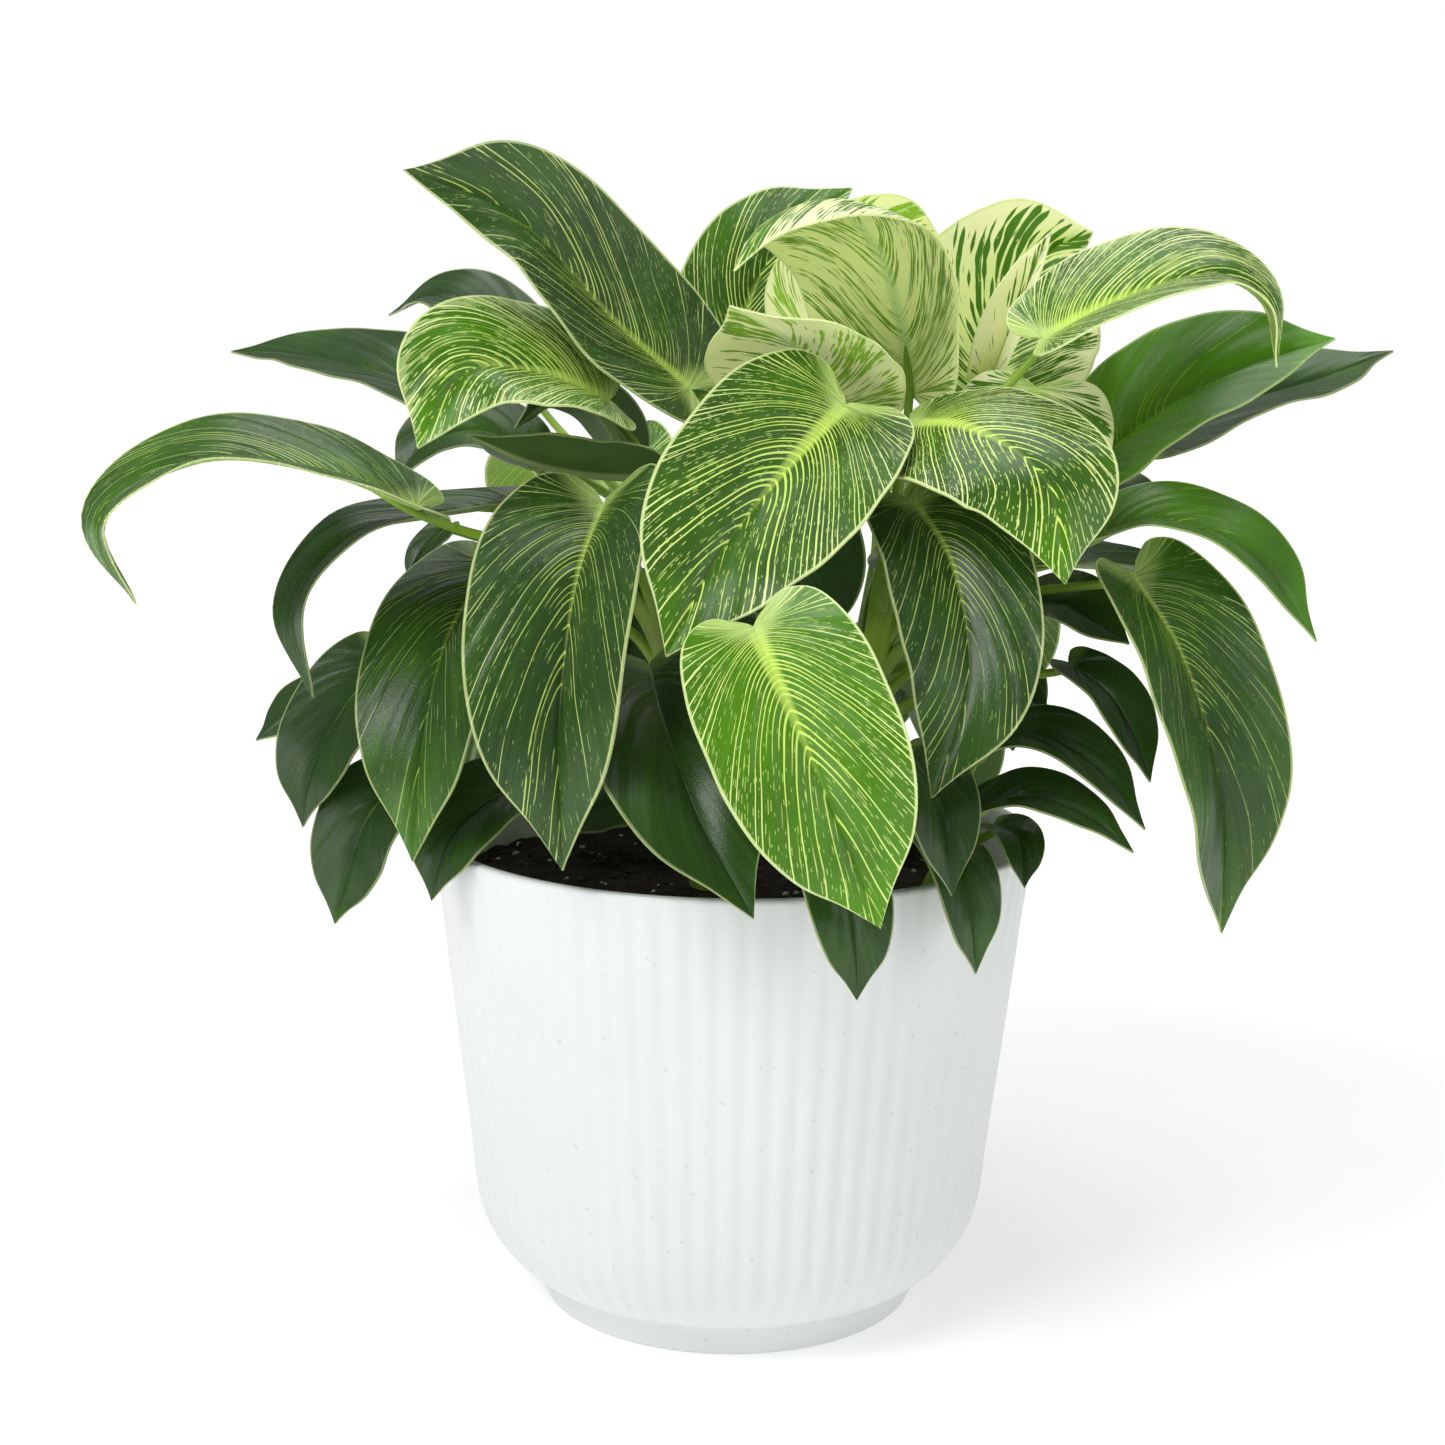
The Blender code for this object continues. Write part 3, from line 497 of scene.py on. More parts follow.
def give(thing, slot, *materials, node=None):
    """Gives a finished piece its materials and its body, and hides the imported part of the node that it
    stands for. The slot is not used.
    """
    mesh = thing.data
    sides = [min(face.material_index, len(materials) - 1) for face in mesh.polygons]
    mesh.materials.clear()
    for material in materials:
        mesh.materials.append(material)
    mesh.polygons.foreach_set("material_index", sides)
    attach(thing, "root")
    if node:
        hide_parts(node)


def set_map(thing, name, x, y):
    """Writes a UV map from values at each face corner."""
    layer = thing.data.uv_layers.get(name) or thing.data.uv_layers.new(name=name)
    layer.data.foreach_set("uv", np.stack([x, y], 1).astype(np.float32).ravel())


def face_corners(thing):
    """For each face corner, the vertex it is at, and the face it belongs to."""
    mesh = thing.data
    vertex = np.empty(len(mesh.loops), np.int32)
    mesh.loops.foreach_get("vertex_index", vertex)
    size = np.empty(len(mesh.polygons), np.int32)
    mesh.polygons.foreach_get("loop_total", size)
    return vertex, np.repeat(np.arange(len(size)), size)


# Curves


def curve_through(points, count):
    """Points evenly apart along a smooth curve through the given ones, and its length."""
    points = np.asarray(points, float)
    points = np.vstack([2 * points[0] - points[1], points, 2 * points[-1] - points[-2]])
    spans = len(points) - 3
    place = np.linspace(0, spans, CURVE_POINTS)
    first = np.minimum(place.astype(int), spans - 1)
    t = (place - first)[:, None]
    a, b, c, d = (points[first + k] for k in range(4))
    bend = (2 * a - 5 * b + 4 * c - d) * t**2
    path = 0.5 * (2 * b + (c - a) * t + bend + (3 * b - a - 3 * c + d) * t**3)
    return evenly(path, count)


def evenly(path, count):
    """Points evenly apart along a path, and its length."""
    steps = np.linalg.norm(np.diff(path, axis=0), axis=1)
    reach = np.concatenate([[0], np.cumsum(steps)])
    goals = np.linspace(0, reach[-1], count)
    return np.stack([np.interp(goals, reach, path[:, k]) for k in range(path.shape[1])], 1), reach[-1]


def unit(vectors):
    return vectors / np.maximum(np.linalg.norm(vectors, axis=-1, keepdims=True), 1e-12)


def carried(normal, ways):
    """A direction square to the path, carried along it without twist."""
    found = np.empty_like(ways)
    for i, way in enumerate(ways):
        normal = unit(normal - normal.dot(way) * way)
        found[i] = normal
    return found


def between(shares, table):
    """Rows of a table at these shares of its height."""
    at = np.linspace(0, 1, len(table))
    return np.stack([np.interp(shares, at, table[:, k]) for k in range(table.shape[1])], 1)


# Leaf blades


class Spine:
    """A leaf's midrib with its length, and the directions along, above and beside it."""

    def __init__(self, leaf):
        self.leaf = leaf
        self.points, self.length = curve_through(leaf.midrib, SPINE_POINTS)
        self.along = unit(np.gradient(self.points, axis=0))
        self.above = carried(np.asarray(leaf.face, float), self.along)

    def place(self, x, y, rise):
        """Points of the blade x along its length, y to the right of the midrib and rise above its sheet."""
        leaf = self.leaf
        inside = np.clip(x, 0, 1)
        point = between(inside, self.points) + self.along[0] * (np.minimum(x, 0) * self.length)[:, None]
        above, along = unit(between(inside, self.above)), unit(between(inside, self.along))
        side = np.where(y >= 0, 1.0, -1.0)
        fold = np.radians(np.where(y >= 0, leaf.fold[1], leaf.fold[0]))
        curl = np.radians(np.where(y >= 0, leaf.curl[1], leaf.curl[0])) / leaf.half
        turn = fold + curl * np.abs(y)
        out = side * (np.sin(turn) - np.sin(fold)) / curl - side * rise * np.sin(turn)
        up = (np.cos(fold) - np.cos(turn)) / curl + rise * np.cos(turn)
        return point + np.cross(along, above) * out[:, None] + above * up[:, None]


def make_blade_blank():
    """A flat leaf blank: rows along X from base to tip, columns along Y, the two sides at +Z and -Z.

    It comes with its corners: share of the way to the tip, share of the way to the margin, and side.
    """
    deselect()
    bpy.ops.mesh.primitive_grid_add(x_subdivisions=BLADE_ROWS, y_subdivisions=BLADE_COLUMNS, size=2)
    blank = newest("leaf_blank")
    for _ in range(2):
        blank.data.materials.append(None)
    apply_modifier(blank, "SOLIDIFY", thickness=2.0, offset=0.0, material_offset=1, material_offset_rim=0)
    smooth(blank, 50)
    places = corners(blank)
    places[:, 0] = (places[:, 0] + 1) / 2
    places[:, 1] = np.sign(-places[:, 1]) * np.abs(places[:, 1]) ** BLADE_CROWDING
    places[:, 2] = np.sign(places[:, 2])
    return blank, places


def vein_start(row):
    """Where a side vein leaves the midrib, for its place round the margin."""
    return 0.62 * row**3 + 0.38 * row**14


def vein_row(x, out, half, outline):
    """Which side vein passes through each point of a blade, as a share of the way round its margin."""
    low, high = np.zeros_like(x), np.ones_like(x)
    for _ in range(VEIN_HALVINGS):
        row = (low + high) / 2
        edge = between(row, outline)
        start = vein_start(row)
        reach = np.maximum(edge[:, 1] / OUTLINE_SLENDER, 1e-3) * half
        past = start + (edge[:, 0] - start) * (out / reach) ** VEIN_SWEEP < x
        low, high = np.where(past, row, low), np.where(past, high, row)
    return row


def blade_form(leaf, sheet, seed):
    """Where the blank's corners go on this leaf, and the values that its markings follow."""
    spine = Spine(leaf)
    outline, around = curve_through([(x, y * OUTLINE_SLENDER) for x, y in OUTLINE], CURVE_POINTS)
    row, across, level = sheet.T
    share = np.abs(across)
    side = np.where(across >= 0, 1.0, -1.0)
    edge = between(row, outline)
    start = row**ROW_START
    x = start + (edge[:, 0] - start) * share**ROW_SWEEP
    reach = np.maximum(edge[:, 1] / OUTLINE_SLENDER, BLADE_TIP) * leaf.half
    out = reach * share
    chance = random.Random(seed)
    wave = np.zeros_like(x)
    for hand in (1.0, -1.0):
        turns, phase = chance.uniform(1.3, 2.1), chance.uniform(0, 2 * math.pi)
        ripple = np.sin(2 * math.pi * turns * x + phase)
        ripple += 0.35 * np.sin(5.1 * math.pi * turns * x + 2 * phase)
        wave += np.where(side == hand, ripple, 0)
    wave *= MARGIN_WAVE * leaf.half / TYPICAL_HALF * share**2.2 * np.clip(8 * (1 - x), 0, 1)
    swell = np.sin(math.pi * share**0.85) * np.clip(0.3 + 5 * x, 0, 1) * np.clip(2.5 * (1 - x), 0, 1)
    wave += SWELL * leaf.half / TYPICAL_HALF * swell
    taper = np.clip(1.05 - x, 0, 1) ** 0.6
    ridge = np.exp(-(out / KEEL_WIDTH) ** 2) * taper * np.clip(4 + x * 60, 0, 1)
    half_thick = BLADE_THICKNESS / 2
    rise = wave + np.where(level > 0, half_thick - GROOVE * ridge, -half_thick - KEEL * ridge)
    places = spine.place(x, side * out, rise) * MM
    vein = vein_row(x, out, leaf.half, outline)
    return places, x, out, vein * around * spine.length, spine.length


def make_leaf(name, leaf, blank, sheet, order):
    """A leaf's blade, with the maps and values that its markings follow."""
    thing = copy_of(blank, name + "_blade")
    places, x, out, along_edge, length = blade_form(leaf, sheet, order)
    move_corners(thing, places)
    vertex, face = face_corners(thing)
    across = sheet[:, 1]
    middle = np.zeros(face.max() + 1)
    np.add.at(middle, face, across[vertex])
    hand = np.where(middle[face] >= 0, 1.0, -1.0)
    set_map(thing, "blade", x[vertex], hand * np.abs(across[vertex]))
    set_map(thing, "vein", along_edge[vertex] / VEIN_MAP + VEIN_STEP * order,
            hand * (1 + out[vertex] / VEIN_MAP))
    growth = OWN_GROWTH.get(name, GROWTH[leaf.look])
    layer = thing.data.attributes.new("growth", "FLOAT_COLOR", "POINT")
    values = np.tile((*growth, length / LENGTH_UNIT), len(places))
    layer.data.foreach_set("color", values.astype(np.float32))
    return thing


# Stems and leafstalks


def make_stalk_blank():
    """An upright tube, one unit tall and one wide, with rings up its length."""
    deselect()
    bpy.ops.mesh.primitive_cylinder_add(vertices=STALK_SIDES, radius=1, depth=1, end_fill_type="NGON")
    blank = newest("stalk_blank")
    pick(blank, edges=lambda a, b: abs(a.z - b.z) > 0.5)
    bpy.ops.mesh.subdivide(number_cuts=STALK_RINGS - 1)
    smooth(blank, 60)
    return blank


def stem_path(shoot):
    """The points of a stem, from inside the soil to its top."""
    (x, y), points, _ = SHOOTS[shoot]
    return np.array([(x, y, STEM_FOOT), (x, y, STEM_BEND), *points], float)


def stem_axis(shoot, height):
    """The middle of the stem at a height."""
    path = stem_path(shoot)
    return np.array([np.interp(height, path[:, 2], path[:, k]) for k in range(3)])


def stalk_path(leaf):
    """The leafstalk's curve, from inside the stem to the underside of the blade, and on along its midrib."""
    spine = Spine(leaf)
    above, along = spine.above[0], spine.along[0]
    start = stem_axis(leaf.shoot, leaf.root)
    arrive = unit(unit(spine.points[0] - start) + 0.4 * along)
    if arrive.dot(above) < 0:
        arrive = unit(arrive - arrive.dot(above) * above)
    end = spine.points[0] + along * STALK_REACH - above * (BLADE_THICKNESS + 0.8 * STALK_TIP_RADIUS)
    size = np.linalg.norm(end - start)
    flat = unit((end - start) * (1, 1, 0))
    leave = unit(np.array((0, 0, 1.0)) + 0.35 * flat)
    t = np.linspace(0, 1, STALK_POINTS)[:, None]
    knots = (start, start + leave * size * 0.4, end - arrive * size * 0.35, end)
    weights = ((1 - t) ** 3, 3 * (1 - t) ** 2 * t, 3 * (1 - t) * t**2, t**3)
    curve = sum(w * k for w, k in zip(weights, knots))
    shares = np.linspace(0.02, STALK_INTO_BLADE, SUNK_POINTS) + STALK_REACH / spine.length
    depths = np.linspace(-BLADE_THICKNESS - 0.75 * STALK_TIP_RADIUS, -0.35, SUNK_POINTS)
    return np.vstack([curve, spine.place(shares, np.zeros(SUNK_POINTS), depths)])


def tube_along(blank, name, path, radius, channel=0.0):
    """A copy of the blank, swept along a path with a radius for each share of its length."""
    thing = copy_of(blank, name)
    line, _ = evenly(path, SPINE_POINTS)
    ways = unit(np.gradient(line, axis=0))
    start = np.array((0.3, 0.2, 0.9)) if abs(ways[0][2]) < 0.8 else np.array((1.0, 0.1, 0.0))
    sides = carried(start, ways)
    places = corners(thing)
    share = places[:, 2] + 0.5
    turn = np.arctan2(places[:, 1], places[:, 0])
    size = np.array([radius(s) for s in share])
    size *= 1 - channel * np.clip(np.cos(turn), 0, 1) ** 4
    side = unit(between(share, sides))
    way = unit(between(share, ways))
    other = np.cross(way, side)
    out = side * np.cos(turn)[:, None] + other * np.sin(turn)[:, None]
    move_corners(thing, (between(share, line) + out * size[:, None]) * MM)
    vertex, _ = face_corners(thing)
    set_map(thing, "stalk", share[vertex], (turn[vertex] / math.pi + 1) / 2)
    return thing


def stalk_radius(share):
    """A leafstalk's radius at a share of its length: wide at its sheath, and thin inside the blade."""
    sheath = STALK_RADIUS * (1 + (STALK_SHEATH - 1) * max(0.0, 1 - share / 0.3) ** 1.5)
    taper = STALK_TIP_RADIUS + (STALK_RADIUS - STALK_TIP_RADIUS) * max(0.0, 1 - share / 0.85)
    if share > 0.88:
        taper *= 1 - 0.75 * (share - 0.88) / 0.12
    return max(taper, 0.0) + (sheath - STALK_RADIUS)


def make_stalk(name, leaf, blank):
    return tube_along(blank, name + "_stalk", stalk_path(leaf), stalk_radius, STALK_CHANNEL)


def make_shoot(name, blank):
    """A stem with all its leafstalks."""
    _, _, (foot, top) = SHOOTS[name]
    path, _ = curve_through(stem_path(name), STEM_POINTS)
    crown = top * STEM_CROWN

    def stem_radius(share):
        return foot + (top - foot) * share - (top - crown) * max(0, share - 0.9) * 10

    things = [tube_along(blank, name + "_stem", path, stem_radius)]
    for leaf_name, leaf in LEAVES.items():
        if leaf.shoot == name:
            things.append(make_stalk(leaf_name, leaf, blank))
    return joined(things, name + "_stalks")


# Pot and soil


def make_pot():
    """The pot: a recessed foot, a rounded shoulder, fluted sides, a soft rim and a plain inside."""
    deselect()
    count = RIB_COUNT * RIB_STEPS
    bpy.ops.mesh.primitive_circle_add(vertices=count, radius=(FOOT_RADIUS - POT_SKIN) * MM,
                                      fill_type="NGON", location=(0, 0, 0))
    pot = newest("pot_body")
    bpy.ops.object.mode_set(mode="EDIT")
    bpy.ops.mesh.select_all(action="SELECT")
    bpy.ops.mesh.flip_normals()
    bpy.ops.mesh.select_mode(type="EDGE")
    bpy.ops.mesh.select_all(action="SELECT")
    radius, height = FOOT_RADIUS - POT_SKIN, 0.0
    for next_radius, next_height in POT_PROFILE:
        lift = (0, 0, (next_height - height) * MM)
        bpy.ops.mesh.extrude_edges_move(TRANSFORM_OT_translate={"value": lift})
        scale = next_radius / radius
        bpy.ops.transform.resize(value=(scale, scale, 1), center_override=(0, 0, 0))
        radius, height = next_radius, next_height
    bpy.ops.mesh.edge_face_add()
    bpy.ops.mesh.select_all(action="SELECT")
    bpy.ops.mesh.normals_make_consistent(inside=False)
    bpy.ops.object.mode_set(mode="OBJECT")
    flute(pot)
    smooth(pot, 50)
    return pot


def flute(pot):
    """Sets the shallow flutes into the side, fading out at the shoulder and under the rim."""
    places = corners(pot)
    height = places[:, 2] / MM
    radius = np.hypot(places[:, 0], places[:, 1])
    wall = np.interp(height, [h for _, h in POT_SIDE], [r for r, _ in POT_SIDE]) * MM
    outer = radius > wall - POT_SKIN * MM
    turn = np.arctan2(places[:, 1], places[:, 0]) * RIB_COUNT
    fade = np.clip((height - RIB_START) / RIB_FADE_LOW, 0, 1)
    fade *= np.clip((RIB_END - height) / RIB_FADE_HIGH, 0, 1)
    depth = RIB_DEPTH * fade * (0.5 - 0.5 * np.cos(turn)) ** 1.3
    scale = np.where(outer, 1 - depth * MM / np.maximum(radius, 1e-6), 1)
    places[:, :2] *= scale[:, None]
    move_corners(pot, places)


def soil_rise(x, y):
    """How far the soil rises over its level at a place."""
    rough = noise.fractal(Vector((x * 0.11, y * 0.11, 3.0)), 0.8, 2.1, 5)
    lumps = max(0.0, noise.noise(Vector((x * 0.3, y * 0.3, 9.0)))) * 1.6
    return rough * 1.5 + lumps


def make_soil():
    """The bed of potting mix, with clods and hollows."""
    deselect()
    depth = (SOIL_TOP - SOIL_FLOOR) * MM
    bpy.ops.mesh.primitive_cylinder_add(vertices=SOIL_SIDES, radius=SOIL_RADIUS * MM, depth=depth,
                                        location=(0, 0, SOIL_TOP * MM - depth / 2))
    soil = newest("soil_bed")
    bpy.ops.object.transform_apply(location=True, rotation=True, scale=True)
    pick(soil, faces=lambda face: face.normal.z > 0.9)
    for _ in range(SOIL_RINGS):
        bpy.ops.mesh.inset(thickness=SOIL_RING_WIDTH * MM)
    bpy.ops.object.mode_set(mode="OBJECT")
    places = corners(soil)
    top = places[:, 2] > (SOIL_TOP - 1) * MM
    for i in np.flatnonzero(top):
        x, y = places[i, 0] / MM, places[i, 1] / MM
        rim = max(0.0, (math.hypot(x, y) - SOIL_EDGE) / 10)
        places[i, 2] += (soil_rise(x, y) - 1.2 * rim) * MM
    move_corners(soil, places)
    smooth(soil, 180)
    return soil


def make_crumb_blank(name, flat, seed, rough):
    """One lump, uneven all over."""
    deselect()
    bpy.ops.mesh.primitive_ico_sphere_add(subdivisions=2, radius=1)
    blank = newest(name)
    places = corners(blank)
    for i, place in enumerate(places):
        bump = noise.noise(Vector(place) * 1.3 + Vector((seed, 0, 0)))
        places[i] = place * (1 + rough * bump * 2) * flat
    move_corners(blank, places)
    smooth(blank, 35)
    return blank


def scatter(name, blanks, count, sizes, seed, sunk, clear):
    """Copies of the lumps, turned at random and half sunk in the soil, as one piece."""
    chance = random.Random(seed)
    things = []
    while len(things) < count:
        away, turn = LITTER_RADIUS * math.sqrt(chance.random()), chance.uniform(0, 2 * math.pi)
        x, y = away * math.cos(turn), away * math.sin(turn)
        if any(math.hypot(x - a, y - b) < clear + foot for (a, b), _, (foot, _) in SHOOTS.values()):
            continue
        size = chance.uniform(*sizes)
        thing = copy_of(chance.choice(blanks), f"{name}_{len(things)}")
        turned = (Matrix.Rotation(chance.uniform(0, 6.28), 3, "Z")
                  @ Matrix.Rotation(chance.gauss(0, 0.35), 3, "X"))
        places = corners(thing) @ np.array(turned).T * size
        places += (x, y, SOIL_TOP + soil_rise(x, y) - sunk * size)
        move_corners(thing, places * MM)
        things.append(thing)
    return joined(things, name)


# Materials


def math_method(operation, swapped=False):
    """A method that works a value out with another one in a node of its own."""
    def method(self, other=0.0):
        first, second = (other, self) if swapped else (self, other)
        return self.surface.node("ShaderNodeMath", {"operation": operation}, {0: first, 1: second})

    return method


class Tone:
    """A value in a material, to be worked with in expressions: | is the larger of two and & the smaller."""

    def __init__(self, surface, socket):
        self.surface = surface
        self.socket = socket

    __add__ = math_method("ADD")
    __radd__ = __add__
    __sub__ = math_method("SUBTRACT")
    __rsub__ = math_method("SUBTRACT", swapped=True)
    __mul__ = math_method("MULTIPLY")
    __truediv__ = math_method("DIVIDE")
    __or__ = math_method("MAXIMUM")
    __and__ = math_method("MINIMUM")
    __gt__ = math_method("GREATER_THAN")
    __abs__ = math_method("ABSOLUTE")
    floor = math_method("FLOOR")


class Surface:
    """A material being made. Every node in it comes from node()."""

    def __init__(self, name, **uniform):
        self.material = bpy.data.materials.new(name)
        self.material.use_nodes = True
        self.tree = self.material.node_tree
        self.shader = self.tree.nodes["Principled BSDF"]
        for socket, value in uniform.items():
            self.shader.inputs[socket.replace("_", " ")].default_value = value

    def node(self, kind, settings=None, inputs=None, output=0):
        """Adds a node: its settings first, then the values or links of its sockets."""
        made = self.tree.nodes.new(kind)
        for key, value in (settings or {}).items():
            setattr(made, key, value)
        for key, value in (inputs or {}).items():
            self.feed(made.inputs[key], value)
        return Tone(self, made.outputs[output])

    def feed(self, socket, value):
        """Links a value to a socket, or sets it there."""
        if isinstance(value, Tone):
            self.tree.links.new(value.socket, socket)
        elif socket.type == "RGBA" and len(value) == 3:
            socket.default_value = (*value, 1.0)
        else:
            socket.default_value = value

    def map(self, name):
        """The two values of one of the piece's UV maps."""
        found = self.node("ShaderNodeUVMap", {"uv_map": name})
        return self.part(found, 0), self.part(found, 1)

    def part(self, vector, which):
        return self.node("ShaderNodeSeparateXYZ", None, {0: vector}, which)

    def place(self):
        """The place on the object, in millimetres."""
        found = self.node("ShaderNodeTexCoord", None, None, "Object")
        return self.node("ShaderNodeVectorMath", {"operation": "SCALE"}, {0: found, "Scale": 1000.0})

    def vector(self, x, y, z):
        return self.node("ShaderNodeCombineXYZ", None, {0: x, 1: y, 2: z})

    def noise(self, vector, scale=1.0, detail=2.0, rough=0.5):
        return self.node("ShaderNodeTexNoise", {"noise_dimensions": "3D"},
                         {"Vector": vector, "Scale": scale, "Detail": detail, "Roughness": rough})

    def chances(self, x, y):
        """Three even random values for each pair of whole numbers."""
        found = self.node("ShaderNodeTexWhiteNoise", {"noise_dimensions": "3D"},
                          {"Vector": self.vector(x + 0.5, y, 0.5)}, "Color")
        return [self.part(found, k) for k in range(3)]

    def cells(self, vector, scale):
        """The distance to the middle of the nearest cell."""
        return self.node("ShaderNodeTexVoronoi", {"feature": "F1"}, {"Vector": vector, "Scale": scale})

    def step(self, value, low, high):
        """0 up to low, 1 from high, and smooth between."""
        return self.node("ShaderNodeMapRange", {"interpolation_type": "SMOOTHSTEP"},
                         {"Value": value, "From Min": low, "From Max": high})

    def mix(self, share, first, second):
        return self.node("ShaderNodeMix", {"data_type": "RGBA"}, {0: share, 6: first, 7: second}, 2)

    def bump(self, height, strength, distance, normal=None):
        inputs = {"Height": height, "Strength": strength, "Distance": distance * MM}
        if normal:
            inputs["Normal"] = normal
        return self.node("ShaderNodeBump", None, inputs)

    def finish(self, colour=None, roughness=None, normal=None):
        for socket, value in (("Base Color", colour), ("Roughness", roughness), ("Normal", normal)):
            if value is not None:
                self.feed(self.shader.inputs[socket], value)
        return self.material


# The leaves' colours: deep and fresh green, the stripes' yellow and cream, the midrib, the margin, the finest
# veins and the base, and the same for the underside, which is paler and duller
DEEP = (0.020, 0.054, 0.010)
FRESH = (0.085, 0.255, 0.004)
STRIPE = (0.66, 0.86, 0.17)
CREAM = (0.93, 0.97, 0.58)
RIB = (0.62, 0.84, 0.15)
RIM = (0.68, 0.80, 0.34)
HAIR = (0.13, 0.24, 0.05)
ROOT = (0.52, 0.70, 0.20)
UNDER_DEEP = (0.060, 0.120, 0.026)
UNDER_FRESH = (0.330, 0.600, 0.030)
UNDER_STRIPE = (0.78, 0.90, 0.34)
UNDER_CREAM = (0.95, 0.98, 0.58)
UNDER_RIB = (0.58, 0.74, 0.30)
UNDER_PALER = 1.7
UNDER_GLOSS = 0.25
UNDER_ROUGHNESS = 0.5

# How far apart the stripes of each kind lie, in millimetres
MAIN_SPACING = 2.6
FINE_SPACING = 1.15
BAND_SPACING = 1.9

# The other colours
STALK_DARK = (0.125, 0.240, 0.008)
STALK_LIGHT = (0.24, 0.40, 0.022)
STALK_LINE = (0.32, 0.46, 0.08)
STALK_BASE = (0.30, 0.34, 0.12)
STALK_FLECK = (0.05, 0.09, 0.01)
GLAZE_COOL = (0.700, 0.728, 0.715)
GLAZE_WARM = (0.730, 0.750, 0.735)
GLAZE_SPECK = (0.45, 0.44, 0.40)
SOIL_DARK = (0.006, 0.005, 0.003)
SOIL_BROWN = (0.036, 0.024, 0.015)
SOIL_FLAKE = (0.10, 0.075, 0.05)


def vein_values(surface):
    """What a blade's markings follow: place along and across it, and along and out on its side veins."""
    along, across = surface.map("blade")
    edge, out = surface.map("vein")
    return along, abs(across), edge * VEIN_MAP, out * VEIN_MAP


def growth_values(surface):
    """How striped, how fresh and how creamy the leaf is, and its length in millimetres."""
    found = surface.node("ShaderNodeAttribute", {"attribute_name": "growth"}, None, "Color")
    parts = [surface.part(found, k) for k in range(3)]
    return (*parts, Tone(surface, found.socket.node.outputs["Alpha"]) * LENGTH_UNIT)


def lanes(surface, edge, run, side, spacing, seed):
    """Lines side by side along the veins: a line's number, the distance from its middle and its chances."""
    sway = surface.noise(surface.vector(edge * 0.05, run * 0.035, seed), detail=1.0)
    place = edge / spacing + (sway - 0.5) * 4.5 / spacing
    lane = place.floor()
    chance = surface.chances(lane, side + seed)
    middle = 0.3 + chance[2] * 0.4
    off = abs(place - lane - middle) * spacing
    return lane, off, chance


def stripes_of(surface, edge, out, share, along, growth):
    """The pinstripes along the side veins: fine broken lines, and broad bands where the leaf is pale."""
    amount, _, cream, length = growth
    side = (out > 0) * 2.0
    side_out = abs(out) - VEIN_MAP
    run = along * length * 0.85 + side_out * 0.7
    near = (1 - surface.step(side_out, 2.0, 12.0)) * (1 - surface.step(along, 0.3, 0.7))
    lane, off, chance = lanes(surface, edge, run, side, MAIN_SPACING, 1.0)
    dash = surface.noise(surface.vector(lane * 3.7, run * 0.11, side), detail=2.0)
    strong = chance[0] > 0.86 - amount * 0.36
    shown = surface.step(dash + strong * 0.22 + amount * 0.17 + near * 0.20, 0.62, 0.80)
    width = 0.02 + chance[1] * chance[1] * 0.15 + strong * amount * 0.12 + near * amount * 0.20
    main = (1 - surface.step(off, width, width + 0.16)) * shown
    lane, off, _ = lanes(surface, edge, run, side, FINE_SPACING, 5.0)
    dash = surface.noise(surface.vector(lane * 2.9, run * 0.34, 4.0 + side), detail=1.5)
    shown = surface.step(dash + amount * 0.15 + share * 0.06, 0.72, 0.78)
    fine = (1 - surface.step(off, 0.04 + amount * 0.05, 0.22)) * shown * 0.6
    lane, off, chance = lanes(surface, edge, run, side, BAND_SPACING, 9.0)
    band = surface.noise(surface.vector(edge * 0.10, run * 0.012, 6.0 + side), detail=1.0)
    streak = surface.noise(surface.vector(lane * 1.7, run * 0.11, 7.0 + side), detail=1.0)
    green = (0.5 - band) * 3.4 + (streak - 0.5) * 3.4 + (chance[0] - 0.5) * 0.9 + 1.12 - cream * 1.5
    green = green - surface.step(share, 0.80, 1.0) * 0.8
    bands = surface.step(off - green * 0.95, -0.08, 0.12) * surface.step(cream, 0.08, 0.14)
    return (main | fine) * (amount > 0.01) | bands, dash


def blade_surface(name, gloss, glow):
    """A blade's skin, which lets light through where the leaf is pale."""
    return Surface(name, Specular_IOR_Level=gloss, Subsurface_Weight=glow, Subsurface_Scale=MM,
                   Subsurface_Radius=(0.9, 1.0, 0.5))


